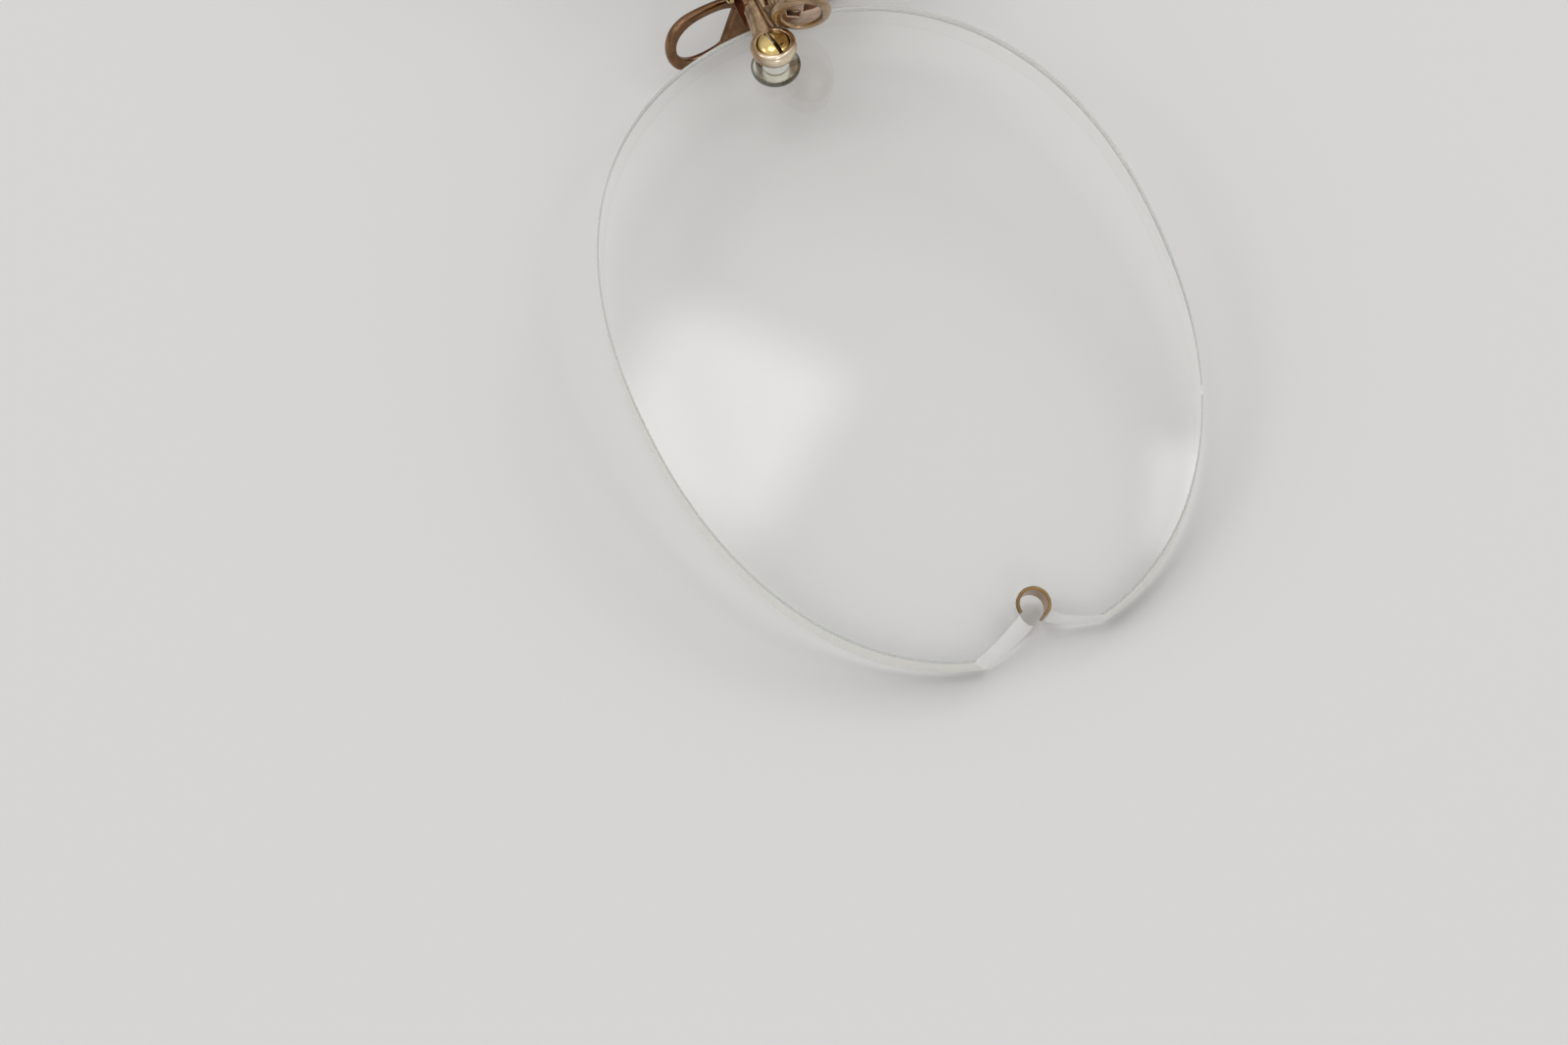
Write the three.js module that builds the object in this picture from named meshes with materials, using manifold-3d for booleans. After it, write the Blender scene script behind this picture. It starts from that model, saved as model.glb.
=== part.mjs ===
// Rimless finger-piece pince-nez, lying face up on the outer ends of its two lenses.
// Millimetres, +Z up. X runs across the face, the wearer's left at +X, and Y runs towards the brow.
import * as THREE from "three";
import { mergeVertices } from "three/addons/utils/BufferGeometryUtils.js";
import Module from "manifold-3d";

const wasm = await Module();
wasm.setup();

// Lenses
const LENS_LENGTH = 40;
const LENS_HEIGHT = 31;
const LENS_OUTLINE_POWER = 2.2; // 2 would be an ellipse; more fills the four corners
const LENS_NASAL_FULLNESS = 0.03; // the nasal half is taller and the temporal half lower by this part
const LENS_MIDDLE_THICKNESS = 2.0;
const LENS_FRONT_RADIUS = 87;
const LENS_BACK_RADIUS = 104;
const NASAL_GAP = 17.5; // between the nasal edges of the two lenses
const FACE_FORM_DEG = 8; // each lens falls away from the bridge by this angle

// Holes in the glass
const STRAP_HOLE_INSET = 2.28; // hole centre to the nasal edge
const STRAP_HOLE_RADIUS = 0.75;
const CORD_HOLE_INSET = 2.4; // hole centre to the temporal edge
const CORD_HOLE_RADIUS = 0.97;

// The glass broken out between the cord hole and the temporal edge
const CHIP_CHEEK_REACH = 4.1; // along the edge, from the hole's axis towards the cheek
const CHIP_BROW_REACH = 3.4;
const CHIP_LIP = 0.45; // the break meets the edge this far short of the lens's end

// Cord bush, a thin sleeve left in the cord hole and open towards the break
const BUSH_WALL = 0.16;
const BUSH_CLEARANCE = 0.04;
const BUSH_STAND_OUT = 0.12; // beyond the glass on each side
const BUSH_OPENING_DEG = 115;

// Lens strap
const FRONT_EAR_RADIUS = 1.32;
const REAR_EAR_RADIUS = 1.4;
const EAR_THICKNESS = 0.6;
const EAR_CLEARANCE = 0.06; // between each ear and the glass
const STRAP_WIDTH = 1.7;
const STRAP_CROWN = 0.95; // height of the half-round front arm at the post, over the ear's inner face
const STRAP_TAPER = 0.65; // what is left of the half round where it meets the screw
const STRAP_RISE = 0.8; // the post stands this far towards the brow from the hole
const POST_THICKNESS = 0.85;
const EDGE_CLEARANCE = 0.45; // between the post and the lens edge, for the slope of the edge

// Lens screw
const LENS_SCREW_RADIUS = 0.55;
const LENS_SCREW_HEAD_RADIUS = 0.92;
const LENS_SCREW_HEAD_HEIGHT = 0.55;
const LENS_SCREW_TAIL = 0.2; // beyond the rear ear
const HEAD_EDGE = 0.35; // the part of a head's height that is its upright edge
const LENS_SCREW_TURN_DEG = 11; // direction of the slot
const SLOT_WIDTH = 0.24;
const SLOT_DEPTH = 0.28;

// Pivot bracket, between the strap and the bridge
const SOLDER_GAP = 0.05;
const SPINE_THICKNESS = 0.75;
const SPINE_DEPTH = 2.2; // front to back
const LUG_THICKNESS = 0.7;
const LUG_RADIUS = 1.2;
const BRACKET_DROP = 0.3; // its foot below the lens axis, towards the cheek

// Pivot and lever
const PIVOT_RADIUS = 0.5;
const PIVOT_CLEARANCE = 0.04;
const PIVOT_HEAD_RADIUS = 0.95;
const PIVOT_HEAD_HEIGHT = 0.6;
const HUB_CLEARANCE = 0.05; // between the hub's ends and the lugs
const COLLAR_RADIUS = 1.1;
const COLLAR_LENGTH = 2.0;
const BARREL_RADIUS = 0.78;
const BARREL_LENGTH = 2.95;
const LEVER_CLEARANCE = 0.42; // between the turning parts and the bracket's spine
const ARM_WIDTH = 1.2; // along the pivot
const ARM_THICKNESS = 0.6;
const ARM_OVER_STRAP = 1.1; // the front arm passes this far over the strap's ear

// Coil spring around the barrel
const SPRING_WIRE = 0.3;
const SPRING_CLEARANCE = 0.1; // between the wire and the barrel
const SPRING_TURNS = 3;
const SPRING_PITCH = 0.62;
const SPRING_BEND = 0.42; // the turn of the wire into its lower leg

// Finger piece, a pierced oval plate in front of the lens, its front face sunk inside a rim
const FINGER_LENGTH = 5.0;
const FINGER_WIDTH = 3.35;
const FINGER_THICKNESS = 0.55;
const FINGER_RIM = 0.5;
const FINGER_SINK = 0.18;
const FINGER_LEAN_DEG = 18; // outwards, from the lens normal at the screw
const FINGER_TURN_DEG = 20; // its brow edge lies further out
const FINGER_OVER_GLASS = 0.55;
const FINGER_RAISE = 1.84; // centre above the lens axis
const FINGER_INSET = 0.77; // its lower end lies this far nasal of the screw
const FINGER_PAD_RADIUS = 0.75; // the end of the front arm, soldered to the plate

// Nose guard, an open loop with two lobes behind the lens
const GUARD_LENGTH = 12.4;
const GUARD_WIDTH = 3.92;
const GUARD_WAIST = 2.2;
const GUARD_STRIP = 0.6;
const GUARD_WEB = 1.5; // half the solid web between the two openings, at the front strip
const GUARD_WEB_SLANT = 1.1; // the web is wider by this much on each side at the back strip
const GUARD_THICKNESS = 0.55;
const GUARD_BEHIND = 3.7; // centre behind the pivot
const GUARD_INWARD = 0.6; // centre towards the nose from the pivot
const GUARD_RAISE = 1.3; // centre above the lens axis
const GUARD_SPLAY_DEG = 12; // its back edge opens outwards
const GUARD_ROLL_DEG = 12.4; // its lower end lies further out
const GUARD_PITCH_DEG = 3.2; // its upper end lies further back
const GUARD_PAD_RADIUS = 1.0; // the end of the rear arm, riveted to the guard
const RIVET_RADIUS = 0.4;
const RIVET_HEAD_RADIUS = 0.68;
const RIVET_HEAD_HEIGHT = 0.32;
const RIVET_CLEARANCE = 0.03;

// Bridge
const BRIDGE_WIDTH = 1.7;
const BRIDGE_DEPTH = 1.2;
const BRIDGE_RISE = 12.4; // crest above the lens axis
const BRIDGE_FORWARD = 2.9; // crest in front of the lens edges
const BRIDGE_FLARE = 0.5; // the shoulders stand out beyond the pivots

// Fineness of the round surfaces
const LENS_SIDES = 60;
const LENS_RINGS = 7;
const ROUND_SIDES = 20;
const CURVE_STEPS = 6;
const ARM_STEPS = 16;
const BRIDGE_STEPS = 30;
const CURL_STEPS = 8;
const CURL_SIDES = 5;

// Metals and glass
const glass = { color: 0xeef3ef, roughness: 0.03, metalness: 0, transparent: true, opacity: 0.35 };
const roseGold = { color: 0xa9764c, roughness: 0.34, metalness: 1 };
const paleGold = { color: 0xc89a5e, roughness: 0.3, metalness: 1 };
const brass = { color: 0xd8b45a, roughness: 0.28, metalness: 1 };
const steel = { color: 0x8d8a86, roughness: 0.35, metalness: 1 };

const radians = THREE.MathUtils.degToRad;

// Solids: three.js geometry to a solid for cutting and joining, and back
function toSolid(geometry) {
  const bare = geometry.index ? geometry.toNonIndexed() : geometry.clone();
  bare.deleteAttribute("normal");
  bare.deleteAttribute("uv");
  const merged = mergeVertices(bare, 1e-5);
  return new wasm.Manifold(new wasm.Mesh({
    numProp: 3,
    vertProperties: new Float32Array(merged.attributes.position.array),
    triVerts: new Uint32Array(merged.index.array),
  }));
}

function toGeometry(solid) {
  const { vertProperties, triVerts } = solid.getMesh();
  const geometry = new THREE.BufferGeometry();
  geometry.setAttribute("position", new THREE.BufferAttribute(new Float32Array(vertProperties), 3));
  geometry.setIndex(new THREE.BufferAttribute(new Uint32Array(triVerts), 1));
  geometry.computeVertexNormals();
  return geometry;
}

// A block between two corners
function block(low, high) {
  const size = high.map((value, axis) => value - low[axis]);
  const middle = high.map((value, axis) => (value + low[axis]) / 2);
  return toSolid(new THREE.BoxGeometry(...size).translate(...middle));
}

// A flat plate, its shape in X and Y and its thickness from z0 to z1
function plate(shape, z0, z1) {
  const options = { depth: z1 - z0, bevelEnabled: false, curveSegments: CURVE_STEPS };
  return toSolid(new THREE.ExtrudeGeometry(shape, options).translate(0, 0, z0));
}

// A plate whose shape lies in X and Z and whose thickness runs along Y
function uprightPlate(shape, y0, y1) {
  const options = { depth: y1 - y0, bevelEnabled: false, curveSegments: CURVE_STEPS };
  return toSolid(new THREE.ExtrudeGeometry(shape, options).rotateX(Math.PI / 2).translate(0, y1, 0));
}

// A drum along Y, its axis through x and z
function drum(radius, y0, y1, x = 0, z = 0) {
  const cylinder = new THREE.CylinderGeometry(radius, radius, y1 - y0, ROUND_SIDES);
  return toSolid(cylinder.translate(x, (y0 + y1) / 2, z));
}

// A drum along Z
function post(radius, z0, z1, x = 0, y = 0) {
  const cylinder = new THREE.CylinderGeometry(radius, radius, z1 - z0, ROUND_SIDES).rotateX(Math.PI / 2);
  return toSolid(cylinder.translate(x, y, (z0 + z1) / 2));
}

// A bar of the given section along a curve
function sweep(section, curve, steps) {
  const options = { steps, extrudePath: curve, curveSegments: CURVE_STEPS };
  return new THREE.ExtrudeGeometry(section, options);
}

function rectangle(width, height) {
  const shape = new THREE.Shape();
  shape.moveTo(-width / 2, -height / 2);
  shape.lineTo(width / 2, -height / 2);
  shape.lineTo(width / 2, height / 2);
  shape.lineTo(-width / 2, height / 2);
  return shape;
}

function ellipse(width, height) {
  const shape = new THREE.Shape();
  shape.absellipse(0, 0, width / 2, height / 2, 0, 2 * Math.PI);
  return shape;
}

// The lens: how far a spherical face falls away at a distance from the middle
const lensReach = LENS_LENGTH / 2;
const sag = (radius, distance) => radius - Math.sqrt(radius ** 2 - distance ** 2);
const frontHeight = (distance) => LENS_MIDDLE_THICKNESS / 2 - sag(LENS_FRONT_RADIUS, distance);
const backHeight = (distance) => -LENS_MIDDLE_THICKNESS / 2 - sag(LENS_BACK_RADIUS, distance);
const middleHeight = (distance) => (frontHeight(distance) + backHeight(distance)) / 2;
const thicknessAt = (distance) => frontHeight(distance) - backHeight(distance);

// The slope of the glass at a distance from the middle, as an angle
function slopeAt(distance) {
  const front = distance / Math.sqrt(LENS_FRONT_RADIUS ** 2 - distance ** 2);
  const back = distance / Math.sqrt(LENS_BACK_RADIUS ** 2 - distance ** 2);
  return Math.atan((front + back) / 2);
}

// A frame on the glass at a distance from the lens middle: Z along the glass normal, X away from the nose
function glassFrame(distanceFromMiddle) {
  const frame = new THREE.Group();
  const distance = Math.abs(distanceFromMiddle);
  frame.position.set(distanceFromMiddle, 0, middleHeight(distance));
  frame.rotation.y = Math.sign(distanceFromMiddle) * slopeAt(distance);
  return frame;
}

const strapHoleDistance = lensReach - STRAP_HOLE_INSET;
const cordHoleDistance = lensReach - CORD_HOLE_INSET;

// One point of the lens outline, its turn counted from the temporal end
function lensEdge(turn) {
  const along = Math.sign(Math.cos(turn)) * Math.abs(Math.cos(turn)) ** (2 / LENS_OUTLINE_POWER);
  const up = Math.sign(Math.sin(turn)) * Math.abs(Math.sin(turn)) ** (2 / LENS_OUTLINE_POWER);
  const fullness = 1 - LENS_NASAL_FULLNESS * along;
  return new THREE.Vector2((along * LENS_LENGTH) / 2, (up * fullness * LENS_HEIGHT) / 2);
}

// The oval blank, edged from a round meniscus
function lensBlank() {
  const blankReach = Math.max(LENS_LENGTH, LENS_HEIGHT) / 2 + 1;
  const distances = Array.from({ length: LENS_RINGS + 1 }, (_, ring) => (blankReach * ring) / LENS_RINGS);
  const back = distances.map((distance) => new THREE.Vector2(distance, backHeight(distance)));
  const front = distances.map((distance) => new THREE.Vector2(distance, frontHeight(distance))).reverse();
  const meniscus = new THREE.LatheGeometry([...back, ...front], LENS_SIDES).rotateX(Math.PI / 2);
  const turns = Array.from({ length: LENS_SIDES }, (_, side) => (2 * Math.PI * side) / LENS_SIDES);
  return toSolid(meniscus).intersect(plate(new THREE.Shape(turns.map(lensEdge)), -blankReach, blankReach));
}

// A drill through the glass, square to its surface
function glassDrill(radius, distanceFromMiddle) {
  const frame = glassFrame(distanceFromMiddle);
  frame.updateMatrix();
  const drill = new THREE.CylinderGeometry(radius, radius, 4 * LENS_MIDDLE_THICKNESS, ROUND_SIDES);
  return toSolid(drill.rotateX(Math.PI / 2).applyMatrix4(frame.matrix));
}

// The break's outline, measured from the cord hole's centre
function chipOutline() {
  const end = CORD_HOLE_INSET - CHIP_LIP;
  const beyond = CORD_HOLE_INSET + CHIP_LIP;
  const [brow, cheek] = [CHIP_BROW_REACH, -CHIP_CHEEK_REACH];
  const shape = new THREE.Shape();
  shape.moveTo(0, cheek / 6);
  shape.bezierCurveTo(end * 0.6, cheek / 4, end * 0.9, cheek * 0.6, end, cheek);
  shape.lineTo(beyond, cheek);
  shape.lineTo(beyond, brow);
  shape.lineTo(end, brow);
  shape.bezierCurveTo(end * 0.9, brow * 0.6, end * 0.6, brow / 4, 0, brow / 6);
  return shape;
}

function plainLens() {
  return lensBlank().subtract(glassDrill(STRAP_HOLE_RADIUS, -strapHoleDistance));
}

function chippedLens() {
  const depth = 4 * LENS_MIDDLE_THICKNESS;
  const chip = new THREE.ExtrudeGeometry(chipOutline(), { depth, bevelEnabled: false, curveSegments: CURVE_STEPS });
  chip.translate(cordHoleDistance, 0, -depth + LENS_MIDDLE_THICKNESS);
  return plainLens().subtract(glassDrill(CORD_HOLE_RADIUS, cordHoleDistance)).subtract(toSolid(chip));
}

function cordBush() {
  const outer = CORD_HOLE_RADIUS - BUSH_CLEARANCE;
  const inner = outer - BUSH_WALL;
  const half = radians(BUSH_OPENING_DEG) / 2;
  const shape = new THREE.Shape();
  shape.absarc(0, 0, outer, half, 2 * Math.PI - half);
  shape.absarc(0, 0, inner, 2 * Math.PI - half, half, true);
  const end = thicknessAt(cordHoleDistance) / 2 + BUSH_STAND_OUT;
  return plate(shape, -end, end);
}

// The mount of one lens, in the frame of the glass at the strap hole
const glassHalf = thicknessAt(strapHoleDistance) / 2;
const earInner = glassHalf + EAR_CLEARANCE;
const earOuter = earInner + EAR_THICKNESS;
const postFace = -(STRAP_HOLE_INSET + EDGE_CLEARANCE);
const postBack = postFace - POST_THICKNESS;
const spineFace = postBack - SOLDER_GAP;
const spineBack = spineFace - SPINE_THICKNESS;
const springRadius = BARREL_RADIUS + SPRING_CLEARANCE + SPRING_WIRE / 2;
const pivotX = spineBack - LEVER_CLEARANCE - Math.max(COLLAR_RADIUS, springRadius + SPRING_WIRE / 2);
const bracketBottom = -BRACKET_DROP;
const hubBottom = bracketBottom + LUG_THICKNESS + HUB_CLEARANCE;
const collarTop = hubBottom + COLLAR_LENGTH;
const hubTop = collarTop + BARREL_LENGTH;
const bracketTop = hubTop + HUB_CLEARANCE + LUG_THICKNESS;
const armMiddle = GUARD_RAISE;

// The outline of one strap arm with its round ear
function strapOutline(earRadius) {
  const along = Math.atan2(STRAP_RISE, postBack);
  const neck = Math.asin(STRAP_WIDTH / 2 / earRadius);
  const shape = new THREE.Shape();
  shape.moveTo(postBack, STRAP_RISE + STRAP_WIDTH / 2);
  shape.lineTo(postBack, STRAP_RISE - STRAP_WIDTH / 2);
  shape.absarc(0, 0, earRadius, along + neck, along - neck + 2 * Math.PI);
  return shape;
}

// The half-round back of the front arm, from the post towards the screw
function strapCrown() {
  const start = new THREE.Vector2(postBack, STRAP_RISE);
  const end = start.clone().setLength(LENS_SCREW_HEAD_RADIUS);
  const middle = start.clone().add(end).divideScalar(2);
  const bar = new THREE.CylinderGeometry(STRAP_TAPER, 1, start.distanceTo(end), ROUND_SIDES)
    .scale(STRAP_WIDTH / 2, 1, STRAP_CROWN)
    .rotateZ(end.clone().sub(start).angle() - Math.PI / 2)
    .translate(middle.x, middle.y, earInner);
  const reach = 2 * EAR_THICKNESS - postBack;
  return toSolid(bar).intersect(block([postBack, -reach, earInner], [0, reach, reach]));
}

function lensStrap() {
  const edge = STRAP_WIDTH / 2;
  return plate(strapOutline(FRONT_EAR_RADIUS), earInner, earOuter)
    .add(strapCrown())
    .add(plate(strapOutline(REAR_EAR_RADIUS), -earOuter, -earInner))
    .add(block([postBack, STRAP_RISE - edge, -earOuter], [postFace, STRAP_RISE + edge, earOuter]))
    .subtract(post(LENS_SCREW_RADIUS + PIVOT_CLEARANCE, -2 * earOuter, 2 * earOuter));
}

// A screw or rivet: a shank along Z from its tail to its seat, and a domed head over the seat
function headedShank(shankRadius, tail, seat, headRadius, headHeight) {
  const profile = [
    new THREE.Vector2(0, tail),
    new THREE.Vector2(shankRadius, tail),
    new THREE.Vector2(shankRadius, seat),
    new THREE.Vector2(headRadius, seat),
  ];
  for (let step = 1; step <= CURVE_STEPS; step += 1) {
    const turn = (step / CURVE_STEPS) * (Math.PI / 2);
    const rise = headHeight * (HEAD_EDGE + (1 - HEAD_EDGE) * Math.sin(turn));
    profile.push(new THREE.Vector2(step === CURVE_STEPS ? 0 : headRadius * Math.cos(turn), seat + rise));
  }
  return toSolid(new THREE.LatheGeometry(profile, ROUND_SIDES).rotateX(Math.PI / 2));
}

// A screwdriver slot across a head whose top is at the given height
function slot(headRadius, top) {
  return block([-2 * headRadius, -SLOT_WIDTH / 2, top - SLOT_DEPTH], [2 * headRadius, SLOT_WIDTH / 2, 2 * top]);
}

function lensScrew() {
  const seat = earOuter + EAR_CLEARANCE;
  const tail = -earOuter - LENS_SCREW_TAIL;
  return headedShank(LENS_SCREW_RADIUS, tail, seat, LENS_SCREW_HEAD_RADIUS, LENS_SCREW_HEAD_HEIGHT)
    .subtract(slot(LENS_SCREW_HEAD_RADIUS, seat + LENS_SCREW_HEAD_HEIGHT));
}

// The bore for the pivot screw, longer than the bracket
function pivotBore() {
  return drum(PIVOT_RADIUS + PIVOT_CLEARANCE, 2 * bracketBottom, 2 * bracketTop, pivotX);
}

function pivotBracket() {
  const lug = new THREE.Shape();
  lug.moveTo(spineFace, -LUG_RADIUS);
  lug.lineTo(spineFace, LUG_RADIUS);
  lug.lineTo(pivotX, LUG_RADIUS);
  lug.absarc(pivotX, 0, LUG_RADIUS, Math.PI / 2, (3 * Math.PI) / 2);
  const spine = block([spineBack, bracketBottom, -SPINE_DEPTH / 2], [spineFace, bracketTop, SPINE_DEPTH / 2]);
  return spine
    .add(uprightPlate(lug, bracketTop - LUG_THICKNESS, bracketTop))
    .add(uprightPlate(lug, bracketBottom, bracketBottom + LUG_THICKNESS))
    .subtract(pivotBore());
}

// The pivot screw, its shank along Z up to the bracket's top and its head at the bracket's foot
function pivotScrew() {
  const seat = -bracketBottom + HUB_CLEARANCE;
  const tail = -bracketTop + HUB_CLEARANCE;
  return headedShank(PIVOT_RADIUS, tail, seat, PIVOT_HEAD_RADIUS, PIVOT_HEAD_HEIGHT)
    .subtract(slot(PIVOT_HEAD_RADIUS, seat + PIVOT_HEAD_HEIGHT));
}

// Places of the finger piece and the guard, in X and Z of the mount
const fingerLean = radians(FINGER_LEAN_DEG);
const fingerUp = new THREE.Vector2(Math.sin(fingerLean), Math.cos(fingerLean));
const fingerOut = new THREE.Vector2(fingerUp.y, -fingerUp.x);
const fingerFoot = new THREE.Vector2(-FINGER_INSET, glassHalf + FINGER_OVER_GLASS);
const fingerMiddle = fingerFoot.clone().addScaledVector(fingerUp, FINGER_LENGTH / 2);

const guardSplay = radians(GUARD_SPLAY_DEG);
const guardBack = new THREE.Vector2(Math.sin(guardSplay), -Math.cos(guardSplay));
const guardOut = new THREE.Vector2(-guardBack.y, guardBack.x);
const guardMiddle = new THREE.Vector2(pivotX - GUARD_INWARD, -GUARD_BEHIND);

// An arm of the lever: a strip through points in X and Z
function arm(points) {
  const curve = new THREE.CatmullRomCurve3(points.map((point) => new THREE.Vector3(point.x, armMiddle, point.y)));
  return toSolid(sweep(rectangle(ARM_WIDTH, ARM_THICKNESS), curve, ARM_STEPS));
}

// A round pad of an arm's thickness in a frame, its face at a height on the frame's Z
function pad(radius, frame, height, x = 0, y = 0) {
  frame.updateMatrix();
  return post(radius, height, height + ARM_THICKNESS, x, y).transform(frame.matrix.elements);
}

// The front arm rises from the hub, passes over the strap and runs up the finger piece's inner face
const turnRoom = (ARM_WIDTH / 2) * Math.tan(radians(FINGER_TURN_DEG));

function frontArm() {
  const behindPlate = -(FINGER_THICKNESS + ARM_THICKNESS) / 2 - SOLDER_GAP;
  const across = armMiddle - FINGER_RAISE;
  const turned = across * Math.tan(radians(FINGER_TURN_DEG));
  const onPlate = (along) => fingerMiddle.clone()
    .addScaledVector(fingerOut, behindPlate + turned - turnRoom)
    .addScaledVector(fingerUp, along);
  const over = earOuter + ARM_OVER_STRAP + ARM_THICKNESS / 2;
  const strip = arm([
    new THREE.Vector2(pivotX, COLLAR_RADIUS / 2),
    new THREE.Vector2(pivotX + COLLAR_RADIUS / 3, over - ARM_THICKNESS),
    new THREE.Vector2((pivotX + postFace) / 2, over),
    new THREE.Vector2(postFace / 2, over + ARM_THICKNESS / 4),
    onPlate(-FINGER_PAD_RADIUS / 3),
    onPlate(FINGER_PAD_RADIUS / 2),
  ]);
  const padHeight = behindPlate - ARM_THICKNESS / 2;
  return strip.add(pad(FINGER_PAD_RADIUS, fingerFrame(), padHeight, across, FINGER_PAD_RADIUS / 2));
}

// The rear arm runs back from the hub to a round pad on the guard's outer face
const guardPadHeight = GUARD_THICKNESS / 2 + SOLDER_GAP;
const rollRoom = (ARM_WIDTH / 2) * Math.sin(radians(GUARD_ROLL_DEG));

function rearArm() {
  const onGuard = (along) => guardMiddle.clone()
    .addScaledVector(guardOut, guardPadHeight + rollRoom + ARM_THICKNESS / 2)
    .addScaledVector(guardBack, along);
  const strip = arm([
    new THREE.Vector2(pivotX, -COLLAR_RADIUS / 2),
    new THREE.Vector2(pivotX, -COLLAR_RADIUS * 1.4),
    onGuard(-1.2 * GUARD_PAD_RADIUS),
    onGuard(-RIVET_HEAD_RADIUS - RIVET_CLEARANCE),
  ]);
  return strip.add(pad(GUARD_PAD_RADIUS, guardFrame(), guardPadHeight));
}

function lever() {
  const frame = guardFrame();
  frame.updateMatrix();
  const hole = post(RIVET_RADIUS + RIVET_CLEARANCE, -GUARD_WIDTH, GUARD_WIDTH).transform(frame.matrix.elements);
  return drum(COLLAR_RADIUS, hubBottom, collarTop, pivotX)
    .add(drum(BARREL_RADIUS, collarTop - HUB_CLEARANCE, hubTop, pivotX))
    .add(frontArm())
    .add(rearArm())
    .subtract(pivotBore())
    .subtract(hole);
}

// The spring's wire: a straight leg to the spine, the curls, and a straight leg down to the collar
function springPoints() {
  const top = hubTop - SPRING_WIRE;
  const points = [];
  const legStart = spineBack - SOLDER_GAP;
  const legSteps = 3;
  for (let step = 0; step < legSteps; step += 1) {
    points.push(new THREE.Vector3(THREE.MathUtils.lerp(legStart, pivotX, step / legSteps), top, -springRadius));
  }
  const count = SPRING_TURNS * CURL_STEPS;
  for (let step = 0; step <= count; step += 1) {
    const turn = (step / CURL_STEPS) * 2 * Math.PI;
    const fall = (step / CURL_STEPS) * SPRING_PITCH;
    points.push(new THREE.Vector3(
      pivotX - springRadius * Math.sin(turn),
      top - fall,
      -springRadius * Math.cos(turn),
    ));
  }
  const last = points.at(-1);
  const legEnd = collarTop + SOLDER_GAP;
  points.push(new THREE.Vector3(last.x - SPRING_BEND, last.y - SPRING_BEND, last.z));
  points.push(new THREE.Vector3(last.x - SPRING_BEND * 1.2, legEnd + SPRING_WIRE, last.z));
  points.push(new THREE.Vector3(last.x - SPRING_BEND * 1.2, legEnd, last.z));
  return points;
}

// The least clear distance between the wire and itself, over points half a curl or more apart
function leastGap(points, wire) {
  let least = Infinity;
  for (let first = 0; first < points.length; first += 1) {
    for (let second = first + CURL_STEPS / 2; second < points.length; second += 1) {
      least = Math.min(least, points[first].distanceTo(points[second]) - wire);
    }
  }
  return least;
}

function coilSpring() {
  const points = springPoints();
  console.log("spring: least gap to itself", leastGap(points, SPRING_WIRE).toFixed(3), "mm");
  const section = new THREE.Shape();
  for (let side = 0; side < CURL_SIDES; side += 1) {
    const turn = (side / CURL_SIDES) * 2 * Math.PI;
    section[side ? "lineTo" : "moveTo"](Math.cos(turn) * SPRING_WIRE / 2, Math.sin(turn) * SPRING_WIRE / 2);
  }
  return toSolid(sweep(section, new THREE.CatmullRomCurve3(points), points.length - 1));
}

// One pierced opening of the finger piece, its corners as parts of the half width and the half length
function piercing(corners) {
  const [across, along] = [FINGER_WIDTH / 2, FINGER_LENGTH / 2];
  const shape = new THREE.Shape(corners.map(([x, y]) => new THREE.Vector2(x * across, y * along)));
  return plate(shape, -FINGER_THICKNESS, FINGER_THICKNESS);
}

// The finger piece: X across it towards the brow, Y up its length, its front at +Z
function fingerPiece() {
  const half = FINGER_THICKNESS / 2;
  const sunk = ellipse(FINGER_WIDTH - 2 * FINGER_RIM, FINGER_LENGTH - 2 * FINGER_RIM);
  const nearOpening = [[-0.5, 0.34], [-0.36, -0.13], [-0.05, -0.15], [-0.08, 0.25]];
  const farOpening = [[-0.05, 0.68], [0, 0.31], [0.46, 0.4], [0.3, 0.66]];
  return plate(ellipse(FINGER_WIDTH, FINGER_LENGTH), -half, half)
    .subtract(plate(sunk, half - FINGER_SINK, FINGER_THICKNESS))
    .subtract(piercing(nearOpening))
    .subtract(piercing(farOpening));
}

// The outline of one lobe of the guard, from the waist round its tip and back to the waist
function lobe(shape, end) {
  const half = (end * GUARD_WIDTH) / 2;
  const tip = (end * GUARD_LENGTH) / 2;
  const waist = (end * GUARD_WAIST) / 2;
  shape.bezierCurveTo(half * 0.9, tip * 0.2, half, tip * 0.5, half, tip * 0.68);
  shape.bezierCurveTo(half, tip * 0.92, half * 0.5, tip, 0, tip);
  shape.bezierCurveTo(-half * 0.5, tip, -half, tip * 0.92, -half, tip * 0.68);
  shape.bezierCurveTo(-half, tip * 0.5, -half * 0.9, tip * 0.2, -waist, 0);
}

// The opening of one lobe, its inner end slanting across the web from the front strip to the back strip
function lobeOpening(end) {
  const half = GUARD_WIDTH / 2 - GUARD_STRIP;
  const tip = end * (GUARD_LENGTH / 2 - GUARD_STRIP);
  const frontRoot = end * GUARD_WEB;
  const backRoot = end * (GUARD_WEB + GUARD_WEB_SLANT);
  const shape = new THREE.Shape();
  shape.moveTo(-half * 0.6, frontRoot);
  shape.bezierCurveTo(-half * 0.9, frontRoot * 1.3, -half, tip * 0.48, -half, tip * 0.66);
  shape.bezierCurveTo(-half, tip * 0.9, -half * 0.5, tip, 0, tip);
  shape.bezierCurveTo(half * 0.5, tip, half, tip * 0.9, half, tip * 0.66);
  shape.bezierCurveTo(half, tip * 0.58, half, tip * 0.52, half * 0.9, backRoot);
  return plate(shape, -GUARD_THICKNESS, GUARD_THICKNESS);
}

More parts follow.
